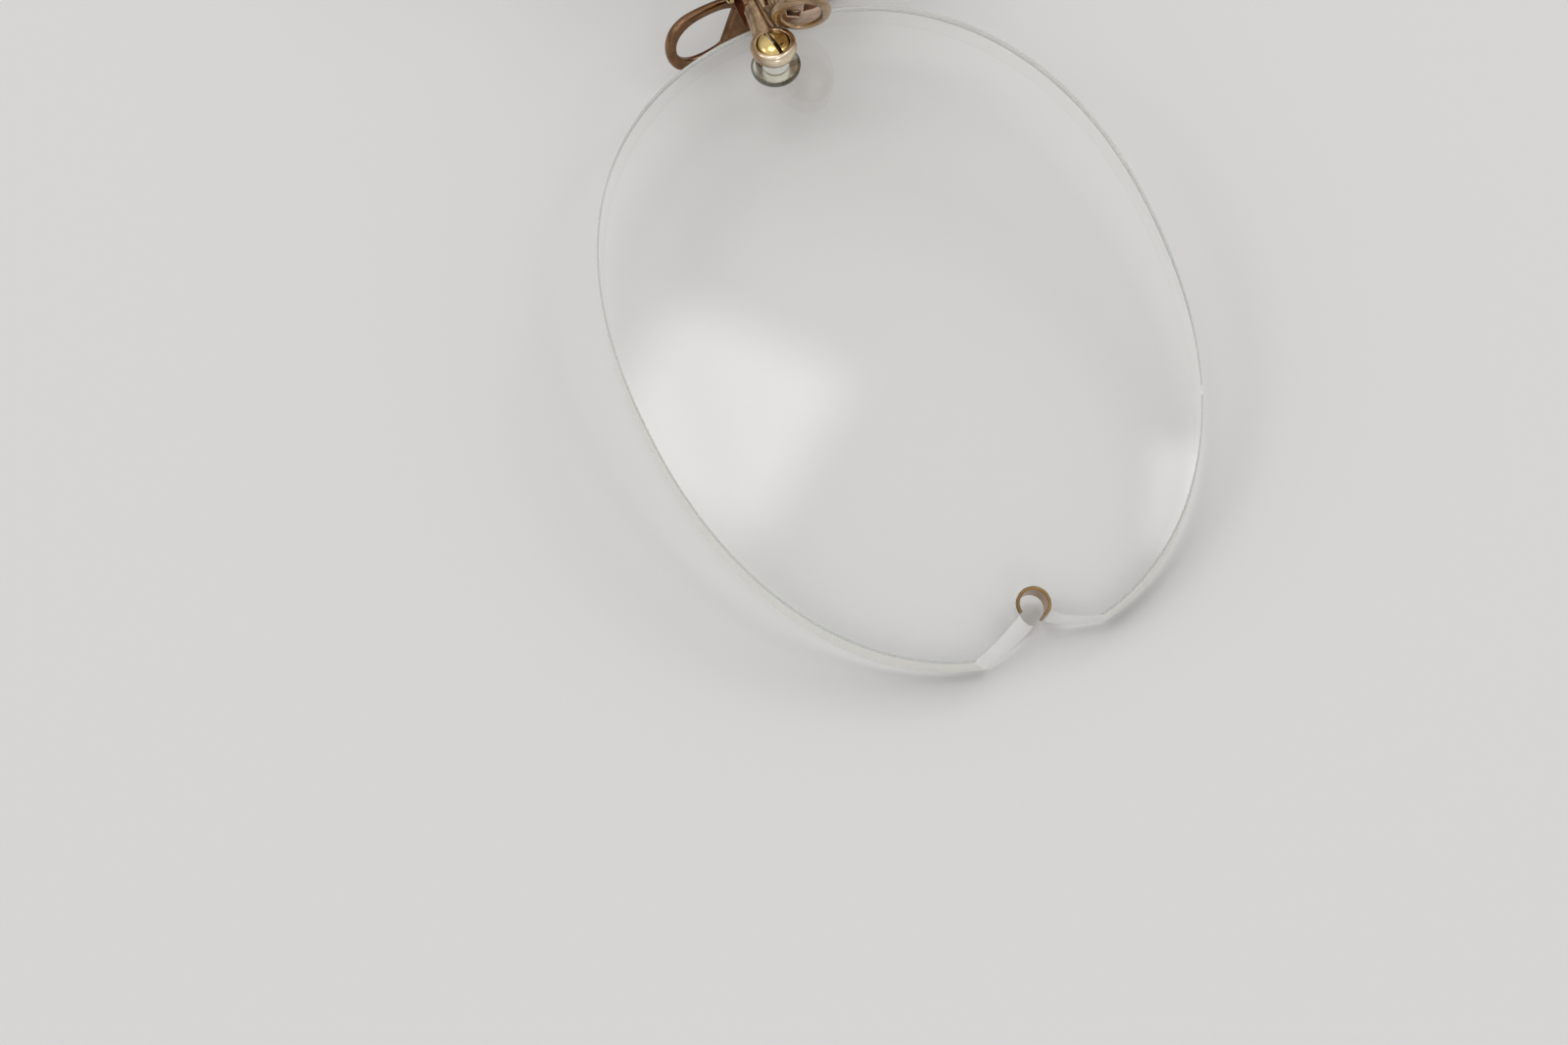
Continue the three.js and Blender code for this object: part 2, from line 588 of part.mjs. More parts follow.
// The guard: X towards its back edge, Y along it, its nose side at -Z
function noseGuard() {
  const outline = new THREE.Shape();
  outline.moveTo(GUARD_WAIST / 2, 0);
  lobe(outline, 1);
  lobe(outline, -1);
  return plate(outline, -GUARD_THICKNESS / 2, GUARD_THICKNESS / 2)
    .subtract(lobeOpening(1))
    .subtract(lobeOpening(-1))
    .subtract(post(RIVET_RADIUS + RIVET_CLEARANCE, -GUARD_THICKNESS, GUARD_THICKNESS));
}

// The rivet: flush with the guard's nose side, its head on the rear arm's pad
function guardRivet() {
  const seat = guardPadHeight + ARM_THICKNESS + RIVET_CLEARANCE;
  return headedShank(RIVET_RADIUS, -GUARD_THICKNESS / 2, seat, RIVET_HEAD_RADIUS, RIVET_HEAD_HEIGHT);
}

// A named mesh of a solid, with its own material
function mesh(name, solid, finish) {
  const piece = new THREE.Mesh(toGeometry(solid), new THREE.MeshStandardMaterial(finish));
  piece.name = name;
  return piece;
}

// The pivot's place and direction at one lens: Z along the pivot, towards its head
function pivotFrame() {
  const frame = new THREE.Group();
  frame.position.set(pivotX, 0, 0);
  frame.rotation.x = Math.PI / 2;
  return frame;
}

function fingerFrame() {
  const frame = new THREE.Group();
  frame.position.set(fingerMiddle.x, FINGER_RAISE, fingerMiddle.y);
  const up = new THREE.Vector3(fingerUp.x, 0, fingerUp.y);
  const out = new THREE.Vector3(fingerOut.x, 0, fingerOut.y);
  const turn = new THREE.Matrix4().makeRotationY(-radians(FINGER_TURN_DEG));
  const basis = new THREE.Matrix4().makeBasis(up.clone().cross(out), up, out);
  frame.quaternion.setFromRotationMatrix(basis.multiply(turn));
  return frame;
}

function guardFrame() {
  const frame = new THREE.Group();
  frame.position.set(guardMiddle.x, GUARD_RAISE, guardMiddle.y);
  const back = new THREE.Vector3(guardBack.x, 0, guardBack.y);
  const out = new THREE.Vector3(guardOut.x, 0, guardOut.y);
  const long = out.clone().cross(back);
  const roll = new THREE.Matrix4().makeRotationX(-radians(GUARD_ROLL_DEG));
  const pitch = new THREE.Matrix4().makeRotationZ(-radians(GUARD_PITCH_DEG));
  const basis = new THREE.Matrix4().makeBasis(back, long, out);
  frame.quaternion.setFromRotationMatrix(basis.multiply(roll).multiply(pitch));
  return frame;
}

// One half of the pince-nez, in a frame at the nasal edge of its lens, with +X away from the nose
function halfPinceNez(side, lensSolid, chipped) {
  const lensGroup = new THREE.Group();
  lensGroup.position.set(lensReach, 0, -middleHeight(lensReach));
  lensGroup.add(mesh(`lens_${side}`, lensSolid, glass));

  const mount = glassFrame(-strapHoleDistance);
  mount.add(mesh(`lens_strap_${side}`, lensStrap(), roseGold));
  mount.add(mesh(`pivot_bracket_${side}`, pivotBracket(), roseGold));
  mount.add(mesh(`lever_${side}`, lever(), roseGold));
  mount.add(mesh(`coil_spring_${side}`, coilSpring(), steel));

  const screw = mesh(`lens_screw_${side}`, lensScrew(), brass);
  screw.rotation.z = radians(LENS_SCREW_TURN_DEG);
  mount.add(screw);
  mount.add(pivotFrame().add(mesh(`pivot_screw_${side}`, pivotScrew(), brass)));
  mount.add(fingerFrame().add(mesh(`finger_piece_${side}`, fingerPiece(), roseGold)));
  mount.add(guardFrame().add(mesh(`nose_guard_${side}`, noseGuard(), paleGold)));
  mount.add(guardFrame().add(mesh(`guard_rivet_${side}`, guardRivet(), paleGold)));
  lensGroup.add(mount);

  if (chipped) {
    lensGroup.add(glassFrame(cordHoleDistance).add(mesh("cord_bush", cordBush(), brass)));
  }
  const half = new THREE.Group();
  half.position.x = NASAL_GAP / 2;
  half.rotation.y = radians(FACE_FORM_DEG);
  half.add(lensGroup);
  half.userData.mount = mount;
  return half;
}

// The bridge: an arch between the tops of the two pivot brackets
function bridge(foot) {
  const shoulder = foot.x + BRIDGE_FLARE;
  const rise = BRIDGE_RISE - foot.y;
  const forward = BRIDGE_FORWARD - foot.z;
  const half = [
    foot,
    new THREE.Vector3(foot.x, foot.y + BRIDGE_DEPTH, foot.z),
    new THREE.Vector3(shoulder, foot.y + rise * 0.4, foot.z + forward * 0.25),
    new THREE.Vector3(shoulder * 0.84, foot.y + rise * 0.7, foot.z + forward * 0.62),
    new THREE.Vector3(shoulder * 0.48, foot.y + rise * 0.93, foot.z + forward * 0.92),
  ];
  const crest = new THREE.Vector3(0, BRIDGE_RISE, BRIDGE_FORWARD);
  const mirrored = half.map((point) => new THREE.Vector3(-point.x, point.y, point.z)).reverse();
  const curve = new THREE.CatmullRomCurve3([...half, crest, ...mirrored]);
  return toSolid(sweep(ellipse(BRIDGE_DEPTH, BRIDGE_WIDTH), curve, BRIDGE_STEPS));
}

const left = halfPinceNez("left", chippedLens(), true);
const right = new THREE.Group();
right.scale.x = -1;
right.add(halfPinceNez("right", plainLens(), false));

const pinceNez = new THREE.Group();
pinceNez.add(left, right);
pinceNez.updateMatrixWorld(true);
const footOnBracket = new THREE.Vector3(pivotX, bracketTop + SOLDER_GAP, 0);
const bridgeFoot = footOnBracket.applyMatrix4(left.userData.mount.matrixWorld);
pinceNez.add(mesh("bridge", bridge(bridgeFoot), roseGold));

// Stand the lowest edges of the lenses on Z = 0
const box = new THREE.Box3().setFromObject(pinceNez, true);
pinceNez.position.z = -box.min.z;

export default pinceNez;
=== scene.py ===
"""Looks of a rimless finger-piece pince-nez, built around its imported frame."""
import math

import bmesh
import bpy
from bpy.props import FloatProperty, FloatVectorProperty, IntProperty, PointerProperty
from mathutils import Matrix, Vector


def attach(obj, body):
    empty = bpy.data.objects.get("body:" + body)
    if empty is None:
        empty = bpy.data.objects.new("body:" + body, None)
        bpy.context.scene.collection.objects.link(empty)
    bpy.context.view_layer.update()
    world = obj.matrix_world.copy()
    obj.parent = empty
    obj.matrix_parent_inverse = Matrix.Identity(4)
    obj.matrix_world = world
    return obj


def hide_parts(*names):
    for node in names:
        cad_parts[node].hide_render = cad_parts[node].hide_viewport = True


bl_info = {
    "name": "Finger-piece pince-nez",
    "version": (1, 0, 0),
    "blender": (4, 5, 0),
    "location": "View3D > Sidebar > Pince-nez",
    "description": "Dresses the packed pince-nez with glass, worn metals, springs and a small stage",
    "category": "Object",
}

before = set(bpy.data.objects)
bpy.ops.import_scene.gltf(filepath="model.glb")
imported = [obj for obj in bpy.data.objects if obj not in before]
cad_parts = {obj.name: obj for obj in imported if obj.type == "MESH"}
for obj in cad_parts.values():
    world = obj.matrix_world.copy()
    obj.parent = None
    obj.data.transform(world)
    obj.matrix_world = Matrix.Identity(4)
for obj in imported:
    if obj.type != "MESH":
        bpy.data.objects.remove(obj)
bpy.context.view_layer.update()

MM = 0.001
SIDES = ("left", "right")

# The nasal edges of the lenses lie this far over the table
REST_HEIGHT = 6.3747 * MM

# Places in a mount's frame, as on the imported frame
PIVOT_X = -5.98 * MM
SPINE_BACK = -4.38 * MM
BRACKET_BOTTOM = -0.3 * MM
BRACKET_TOP = 6.15 * MM
COLLAR_TOP = 2.45 * MM
HUB_TOP = 5.4 * MM
PIVOT_GAP = 0.05 * MM


def size_setting(name, description, millimetres):
    return FloatProperty(name=name, description=description, default=millimetres * MM, unit="LENGTH")


def angle_setting(name, description, degrees):
    return FloatProperty(name=name, description=description, default=math.radians(degrees), subtype="ANGLE")


def colour_setting(name, description, value):
    return FloatVectorProperty(name=name, description=description, default=value, subtype="COLOR")


class LensSettings(bpy.types.PropertyGroup):
    """Sizes of the two lenses, their holes and the break"""

    length: size_setting("Length", "Along the long axis", 40)
    height: size_setting("Height", "Across the middle", 30.97)
    power: FloatProperty(name="Outline power", description="2 is an ellipse", default=2.2)
    fullness: FloatProperty(name="Nasal fullness", description="Extra height of the nasal half", default=0.03)
    thickness: size_setting("Thickness", "At the middle", 2)
    front_radius: size_setting("Front radius", "Of the front face", 87)
    back_radius: size_setting("Back radius", "Of the back face", 104)
    gap: size_setting("Nasal gap", "Between the two lenses", 17.5)
    face_form: angle_setting("Face form", "Fall of each lens away from the bridge", 8)
    bevel: size_setting("Edge bevel", "Width of the safety bevel", 0.1)
    strap_inset: size_setting("Strap hole inset", "From the hole's middle to the nasal edge", 2.28)
    strap_hole: size_setting("Strap hole", "Radius of the strap hole", 0.75)
    cord_inset: size_setting("Cord hole inset", "From the hole's middle to the temporal edge", 2.4)
    cord_hole: size_setting("Cord hole", "Radius of the cord hole", 0.97)
    cheek_reach: size_setting("Break towards the cheek", "Along the edge", 4.75)
    brow_reach: size_setting("Break towards the brow", "Along the edge", 4.6)
    cheek_slant: size_setting("Cheek slant", "How much further the break reaches at the front", 1.4)
    brow_slant: size_setting("Brow slant", "How much further the break reaches at the front", 0.4)
    nick_turn: angle_setting("Nick", "Place of the small nick, counted from the temporal end", 62.4)
    nick_radius: size_setting("Nick size", "Radius of the small nick", 0.45)
    sides: IntProperty(name="Sides", description="Steps round the outline", default=224)
    rings: IntProperty(name="Rings", description="Steps from the middle to the edge", default=22)


class MountSettings(bpy.types.PropertyGroup):
    """Sizes of the straps, screws, finger pieces, guards and the cord bush"""

    front_ear: size_setting("Front ear", "Radius of the strap's front ear", 1.32)
    rear_ear: size_setting("Rear ear", "Radius of the strap's rear ear", 1.4)
    ear_thickness: size_setting("Ear thickness", "Of both ears", 0.6)
    ear_gap: size_setting("Ear gap", "Between an ear and the glass", 0.06)
    # Painted reflection: inside this radius the rear ear is painted pale, standing in for the bright room
    # mirrored in its polished face
    lining: size_setting("Ear lining", "Radius of the bright inner face of the rear ear", 1.25)
    cup_rim: size_setting("Cup rim", "Height of the front ear's rim on the side of the lens", 0.68)
    cup_wall: size_setting("Cup wall", "Width of the front ear's rim", 0.38)
    arm_start: size_setting("Strap arm start", "Towards the nose from the screw", -3.3)
    arm_half: size_setting("Strap arm", "Half the width of the front arm", 0.6)
    arm_raise: size_setting("Strap arm raise", "Its middle above the lens axis", 0.12)
    arm_rise: size_setting("Strap arm rise", "Height of the front arm", 0.95)
    screw_head: size_setting("Lens screw head", "Radius of the head", 0.92)
    screw_rise: size_setting("Lens screw dome", "Height of the head", 0.55)
    screw_shank: size_setting("Lens screw shank", "Radius of the shank", 0.55)
    screw_tail: size_setting("Lens screw tail", "Beyond the rear ear", 0.2)
    screw_turn: angle_setting("Lens screw turn", "Direction of the slot", 11)
    slot_width: size_setting("Slot width", "Of every screw", 0.24)
    slot_depth: size_setting("Slot depth", "Of every screw", 0.28)
    pivot_head: size_setting("Pivot screw head", "Radius of the head", 0.95)
    pivot_rise: size_setting("Pivot screw dome", "Height of the head", 0.6)
    pivot_shank: size_setting("Pivot screw shank", "Radius of the shank", 0.5)
    rivet_head: size_setting("Rivet head", "Radius of the head", 0.68)
    rivet_rise: size_setting("Rivet dome", "Height of the head", 0.32)
    rivet_shank: size_setting("Rivet shank", "Radius of the shank", 0.4)
    rivet_seat: size_setting("Rivet seat", "Height of the head's seat over the guard's middle", 0.955)
    finger_length: size_setting("Finger piece length", "Of the oval", 5)
    finger_width: size_setting("Finger piece width", "Of the oval", 3.35)
    finger_thickness: size_setting("Finger piece thickness", "At the rim", 0.55)
    finger_rim: size_setting("Finger piece rim", "Width of the rim", 0.62)
    finger_sink: size_setting("Finger piece sink", "Of the web inside the rim", 0.16)
    finger_rounding: size_setting("Finger piece rounding", "Edges of the web", 0.06)
    finger_lean: angle_setting("Finger piece lean", "Outwards from the lens normal", 18)
    finger_turn: angle_setting("Finger piece turn", "Its brow edge lies further out", 20)
    finger_over_glass: size_setting("Finger piece foot", "Over the glass", 0.55)
    finger_raise: size_setting("Finger piece raise", "Middle above the lens axis", 1.84)
    finger_inset: size_setting("Finger piece inset", "Foot towards the nose from the lens screw", 0.77)
    guard_length: size_setting("Guard length", "Of the whole loop", 12.4)
    guard_width: size_setting("Guard width", "Of a lobe", 3.92)
    guard_waist: size_setting("Guard waist", "Width of the waist", 2.2)
    guard_strip: size_setting("Guard strip", "Width of the strip", 0.6)
    guard_web: size_setting("Guard web", "Half the web between the openings, at the front strip", 1.5)
    guard_web_slant: size_setting("Guard web slant", "How much wider the web is at the back strip", 1.1)
    guard_thickness: size_setting("Guard thickness", "Of the strip", 0.55)
    guard_rounding: size_setting("Guard rounding", "Edges of the strip", 0.2)
    guard_behind: size_setting("Guard behind", "Middle behind the pivot", 3.7)
    guard_inward: size_setting("Guard inward", "Middle towards the nose from the pivot", 0.6)
    guard_raise: size_setting("Guard raise", "Middle above the lens axis", 1.3)
    guard_splay: angle_setting("Guard splay", "Its back edge opens outwards", 12)
    guard_roll: angle_setting("Guard roll", "Its lower end lies further out", 12.4)
    guard_pitch: angle_setting("Guard pitch", "Its upper end lies further back", 3.2)
    bush_wall: size_setting("Bush wall", "Thickness of the cord bush", 0.16)
    bush_gap: size_setting("Bush gap", "Between the bush and the glass", 0.04)
    bush_stand_out: size_setting("Bush stand-out", "Beyond the glass on each side", 0.12)
    bush_opening: angle_setting("Bush opening", "Where the bush is broken open", 96)
    bush_turn: angle_setting("Bush turn", "Middle of the opening, towards the brow", -28)


class MetalSettings(bpy.types.PropertyGroup):
    """Colours of the metals, some with painted highlight, painted reflection or painted shade, and fineness
    of the castings
    """

    rose: colour_setting("Rose gold", "Clean rose gold", (0.55, 0.38, 0.23))
    # Painted light: the webs are painted paler than the rims, as if their flat faces caught the light
    web: colour_setting("Web gold", "Paler gold of the finger pieces' webs", (0.80, 0.57, 0.42))
    bush: colour_setting("Bush gold", "Dark gold of the cord bush", (0.42, 0.25, 0.10))
    guard: colour_setting("Guard gold", "Worn gold of the guards", (0.28, 0.155, 0.082))
    brass: colour_setting("Screw brass", "Yellow brass of the screws", (0.82, 0.62, 0.26))
    steel: colour_setting("Spring steel", "Dull steel of the springs", (0.42, 0.41, 0.40))
    # Painted reflection: pale colour of the rear ears' inner faces, standing in for the bright room mirrored
    # in them
    lining: colour_setting("Ear lining", "Bright inner face of the rear ears", (0.90, 0.89, 0.79))
    # Painted shade: near-black colour round the rear ears' edges, where shadow falls
    painted_shade_edge: colour_setting("Ear edge", "Dark edge of the rear ears", (0.12, 0.115, 0.085))
    # Painted highlight: pale gold laid on the front ears' beads where the lamps' highlights fall, not gold
    # rubbed bright
    bead: colour_setting("Bead gold", "Pale gold where the front ears are rubbed bright", (0.90, 0.76, 0.57))
    tarnish: colour_setting("Tarnish", "Brown of the tarnish", (0.06, 0.03, 0.018))
    grain: size_setting("Casting grain", "Fineness of the worn brackets and levers", 0.06)


class SpringSettings(bpy.types.PropertyGroup):
    """Sizes of the coil springs"""

    wire: size_setting("Wire", "Diameter of the wire", 0.3)
    radius: size_setting("Radius", "Of the turns, at the middle of the wire", 1.03)
    turns: IntProperty(name="Turns", description="Turns round the barrel", default=3)
    pitch: size_setting("Pitch", "Rise of each turn", 0.62)
    bend: size_setting("Bend", "Turn of the wire into its lower leg", 0.42)
    steps: IntProperty(name="Steps", description="Steps in each turn", default=40)


class StageSettings(bpy.types.PropertyGroup):
    """Floor, lamps and camera"""

    floor: colour_setting("Floor", "Colour of the floor", (0.72, 0.71, 0.695))
    floor_size: size_setting("Floor size", "Side of the floor", 1200)
    zenith: FloatProperty(name="Room light above", description="From overhead", default=0.8)
    horizon: FloatProperty(name="Room light around", description="From the sides", default=0.34)
    distance: size_setting("Lamp distance", "From the lens", 800)
    view_angle: angle_setting("View angle", "Across the picture", 16)


# Shape of the glass

def sag(radius, distance):
    return radius - math.sqrt(radius ** 2 - distance ** 2)


def front_height(lens, distance):
    return lens.thickness / 2 - sag(lens.front_radius, distance)


def back_height(lens, distance):
    return -lens.thickness / 2 - sag(lens.back_radius, distance)


def middle_height(lens, distance):
    return (front_height(lens, distance) + back_height(lens, distance)) / 2


def glass_half(lens, inset):
    """Half the glass thickness at a hole this far from the lens's end"""
    distance = lens.length / 2 - inset
    return (front_height(lens, distance) - back_height(lens, distance)) / 2


def glass_slope(lens, distance):
    front = distance / math.sqrt(lens.front_radius ** 2 - distance ** 2)
    back = distance / math.sqrt(lens.back_radius ** 2 - distance ** 2)
    return math.atan((front + back) / 2)


def lens_edge(lens, turn):
    """A point of the outline, its turn counted from the temporal end"""
    along = math.copysign(abs(math.cos(turn)) ** (2 / lens.power), math.cos(turn))
    up = math.copysign(abs(math.sin(turn)) ** (2 / lens.power), math.sin(turn))
    fullness = 1 - lens.fullness * along
    return Vector((along * lens.length / 2, up * fullness * lens.height / 2))


# Places

def half_matrix(lens, side):
    """Place of one half: +X away from the nose, mirrored for the right half"""
    flip = Matrix.Scale(-1 if side == "right" else 1, 4, (1, 0, 0))
    nasal_edge = Matrix.Translation((lens.gap / 2, 0, REST_HEIGHT))
    return flip @ nasal_edge @ Matrix.Rotation(lens.face_form, 4, "Y")


def lens_matrix(lens, side):
    reach = lens.length / 2
    return half_matrix(lens, side) @ Matrix.Translation((reach, 0, -middle_height(lens, reach)))


def glass_frame(lens, distance):
    """A frame on the glass at a distance from the lens middle, Z along the glass normal"""
    place = Matrix.Translation((distance, 0, middle_height(lens, abs(distance))))
    slope = math.copysign(glass_slope(lens, abs(distance)), distance)
    return place @ Matrix.Rotation(slope, 4, "Y")


def mount_matrix(lens, side):
    return lens_matrix(lens, side) @ glass_frame(lens, lens.strap_inset - lens.length / 2)


def ear_inner(lens, mount):
    return glass_half(lens, lens.strap_inset) + mount.ear_gap


def ear_outer(lens, mount):
    return ear_inner(lens, mount) + mount.ear_thickness


def basis(along, up, out):
    return Matrix((along, up, out)).transposed().to_4x4()


def finger_frame(lens, mount):
    """Frame of the finger piece in the mount: X towards the brow, Y up its length, Z away from the nose"""
    up = Vector((math.sin(mount.finger_lean), 0, math.cos(mount.finger_lean)))
    out = Vector((up.z, 0, -up.x))
    over_glass = glass_half(lens, lens.strap_inset) + mount.finger_over_glass
    foot = Vector((-mount.finger_inset, mount.finger_raise, over_glass))
    middle = Matrix.Translation(foot + up * mount.finger_length / 2)
    return middle @ basis(up.cross(out), up, out) @ Matrix.Rotation(-mount.finger_turn, 4, "Y")


def guard_frame(mount):
    """Frame of the guard in the mount: X towards its back edge, Y along it, its nose side at -Z"""
    back = Vector((math.sin(mount.guard_splay), 0, -math.cos(mount.guard_splay)))
    out = Vector((-back.z, 0, back.x))
    middle = Matrix.Translation((PIVOT_X - mount.guard_inward, mount.guard_raise, -mount.guard_behind))
    turned = Matrix.Rotation(-mount.guard_roll, 4, "X") @ Matrix.Rotation(-mount.guard_pitch, 4, "Z")
    return middle @ basis(back, out.cross(back), out) @ turned


def pivot_frame():
    """Frame of the pivot in the mount: Z along it, towards the screw's head"""
    return Matrix.Translation((PIVOT_X, 0, 0)) @ Matrix.Rotation(math.pi / 2, 4, "X")


# Meshes

def new_object(name, data):
    piece = bpy.data.objects.new(name, data)
    bpy.context.scene.collection.objects.link(piece)
    return piece


def add_ring(shape, points):
    return [shape.verts.new(point) for point in points]


def join_rings(shape, first, second, material=0):
    count = len(first)
    for index in range(count):
        after = (index + 1) % count
        face = shape.faces.new((first[index], first[after], second[after], second[index]))
        face.material_index = material
        face.smooth = True


def close_ring(shape, ring, point, material=0):
    middle = shape.verts.new(point)
    for index, corner in enumerate(ring):
        face = shape.faces.new((middle, corner, ring[(index + 1) % len(ring)]))
        face.material_index = material
        face.smooth = True


def to_mesh(name, shape):
    """A Blender mesh of a bmesh, its faces turned outwards"""
    bmesh.ops.recalc_face_normals(shape, faces=shape.faces)
    mesh = bpy.data.meshes.new(name)
    shape.to_mesh(mesh)
    shape.free()
    return mesh


def skin(name, loops, tips=(None, None), material=0, around=False):
    """A mesh over loops of points; its two ends meet, or each is closed by its tip or by a flat face"""
    shape = bmesh.new()
    rings = [add_ring(shape, loop) for loop in loops]
    following = rings[1:] + rings[:1] if around else rings[1:]
    for first, second in zip(rings, following):
        join_rings(shape, first, second, material)
    ends = [] if around else [rings[0], rings[-1]]
    for ring, tip in zip(ends, tips):
        if tip is None:
            shape.faces.new(ring).material_index = material
        else:
            close_ring(shape, ring, tip, material)
    return to_mesh(name, shape)


def put(mesh, place):
    """Move a mesh to its place, its faces still outwards in a mirrored one"""
    mesh.transform(place)
    if place.determinant() < 0:
        mesh.flip_normals()
    return mesh


def settled(piece):
    """The mesh of a piece with its modifiers done; the piece itself goes"""
    bpy.context.view_layer.update()
    seen = piece.evaluated_get(bpy.context.evaluated_depsgraph_get())
    mesh = bpy.data.meshes.new_from_object(seen)
    bpy.data.objects.remove(piece)
    return mesh


def combine(mesh, others, operation):
    """The mesh with the others cut from it or joined to it"""
    piece = new_object("being_worked", mesh)
    tools = [new_object("tool", other) for other in others]
    for tool in tools:
        step = piece.modifiers.new("step", "BOOLEAN")
        step.operation = operation
        step.solver = "EXACT"
        step.object = tool
    result = settled(piece)
    for tool in tools:
        bpy.data.objects.remove(tool)
    return result


def dress(mesh, *materials):
    """Give a mesh its materials, in the order of its faces' numbers"""
    for material in materials:
        mesh.materials.append(material)
    return mesh


def paint(mesh, material):
    """Give all faces of a mesh one material number"""
    for face in mesh.polygons:
        face.material_index = material
    return mesh


def shade(mesh, sharp=math.radians(38)):
    """Smooth shading, with the edges over an angle kept sharp"""
    mesh.shade_smooth()
    mesh.set_sharp_from_angle(angle=sharp)
    return mesh


def full_turns(count):
    """Even turns round a whole circle"""
    return [2 * math.pi * step / count for step in range(count)]


def circle(radius, sides):
    return [Vector((radius * math.cos(turn), radius * math.sin(turn))) for turn in full_turns(sides)]


def arc(start, end, steps):
    """A quarter of an ellipse that sets out level from its start and comes upright to its end"""
    turns = [math.pi / 2 * step / steps for step in range(steps + 1)]
    across = end[0] - start[0]
    rise = start[1] - end[1]
    return [(start[0] + across * math.sin(turn), end[1] + rise * math.cos(turn)) for turn in turns]


def lathe(profile, sides=64, material=0):
    """A shape turned round Z; the profile of radii and heights starts and ends on the axis"""
    loops = []
    for radius, height in profile[1:-1]:
        loops.append([Vector((*point, height)) for point in circle(radius, sides)])
    tips = [Vector((0, 0, height)) for _, height in (profile[0], profile[-1])]
    return skin("turned", loops, tips, material)


def bezier(points, share):
    """A point of a cubic curve"""
    rest = 1 - share
    weights = (rest ** 3, 3 * rest ** 2 * share, 3 * rest * share ** 2, share ** 3)
    return sum((point * weight for point, weight in zip(points, weights)), Vector((0, 0)))


def outline(start, curves, steps=14):
    """Points along joined cubic curves, each given by its two handles and its end"""
    points = []
    for curve in curves:
        corners = [Vector(point) for point in (start, *curve)]
        points += [bezier(corners, step / steps) for step in range(steps)]
        start = curve[-1]
    return points + [Vector(start)]


def weld(mesh, distance):
    """A bmesh of a mesh, with the points closer than the distance made one"""
    shape = bmesh.new()
    shape.from_mesh(mesh)
    bmesh.ops.remove_doubles(shape, verts=shape.verts, dist=distance)
    return shape


def flat_plate(loops, thickness, rounding):
    """A plate with rounded edges, worked in millimetres; its outline comes first, then its openings"""
    curve = bpy.data.curves.new("plate", "CURVE")
    curve.dimensions = "2D"
    curve.fill_mode = "BOTH"
    curve.extrude = (thickness / 2 - rounding) / MM
    curve.bevel_depth = rounding / MM
    curve.bevel_resolution = 3
    curve.offset = -rounding / MM
    for loop in loops:
        spline = curve.splines.new("POLY")
        spline.points.add(len(loop) - 1)
        for corner, point in zip(spline.points, loop):
            corner.co = (point.x / MM, point.y / MM, 0, 1)
        spline.use_cyclic_u = True
    shape = weld(settled(new_object("plate", curve)), rounding / MM / 100)
    bmesh.ops.scale(shape, verts=shape.verts, vec=(MM, MM, MM))
    return to_mesh("plate", shape)


def block(low, high):
    """A box between two corners"""
    shape = bmesh.new()
    middle = (Vector(low) + Vector(high)) / 2
    size = Matrix.Diagonal((*(Vector(high) - Vector(low)), 1))
    bmesh.ops.create_cube(shape, size=1, matrix=Matrix.Translation(middle) @ size)
    return to_mesh("block", shape)


def packed(name):
    """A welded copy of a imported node's mesh"""
    return to_mesh(name, weld(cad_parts[name].data, MM / 10000))


def cast(name, meshes, grain, rounds=7, keep=0.3):
    """One solid of overlapping shapes, its edges worn round; it is worked in millimetres"""
    whole = bmesh.new()
    for mesh in meshes:
        whole.from_mesh(mesh)
    bmesh.ops.scale(whole, verts=whole.verts, vec=(1 / MM, 1 / MM, 1 / MM))
    joined = bpy.data.meshes.new(name)
    whole.to_mesh(joined)
    whole.free()
    piece = new_object(name, joined)
    merge = piece.modifiers.new("merge", "REMESH")
    merge.mode = "VOXEL"
    merge.voxel_size = grain / MM
    merge.use_smooth_shade = True
    wear = piece.modifiers.new("wear", "SMOOTH")
    wear.factor = 0.5
    wear.iterations = rounds
    lighter = piece.modifiers.new("lighter", "DECIMATE")
    lighter.ratio = keep
    piece.modifiers.new("flat faces", "WEIGHTED_NORMAL")
    result = settled(piece)
    result.transform(Matrix.Scale(MM, 4))
    result.materials.clear()
    return result


def tube(points, radius, sides):
    """A round wire through points, closed at both ends"""
    loops = []
    across = (points[1] - points[0]).orthogonal().normalized()
    for index, point in enumerate(points):
        before = points[max(index - 1, 0)]
        after = points[min(index + 1, len(points) - 1)]
        way = (after - before).normalized()
        across = (across - way * across.dot(way)).normalized()
        up = way.cross(across)
        loops.append([point + across * place.x + up * place.y for place in circle(radius, sides)])
    return skin("wire", loops, (points[0], points[-1]))


# Lenses: their faces are polished, ground, broken or bevelled

FACE, EDGE, BREAK, BEVEL = range(4)


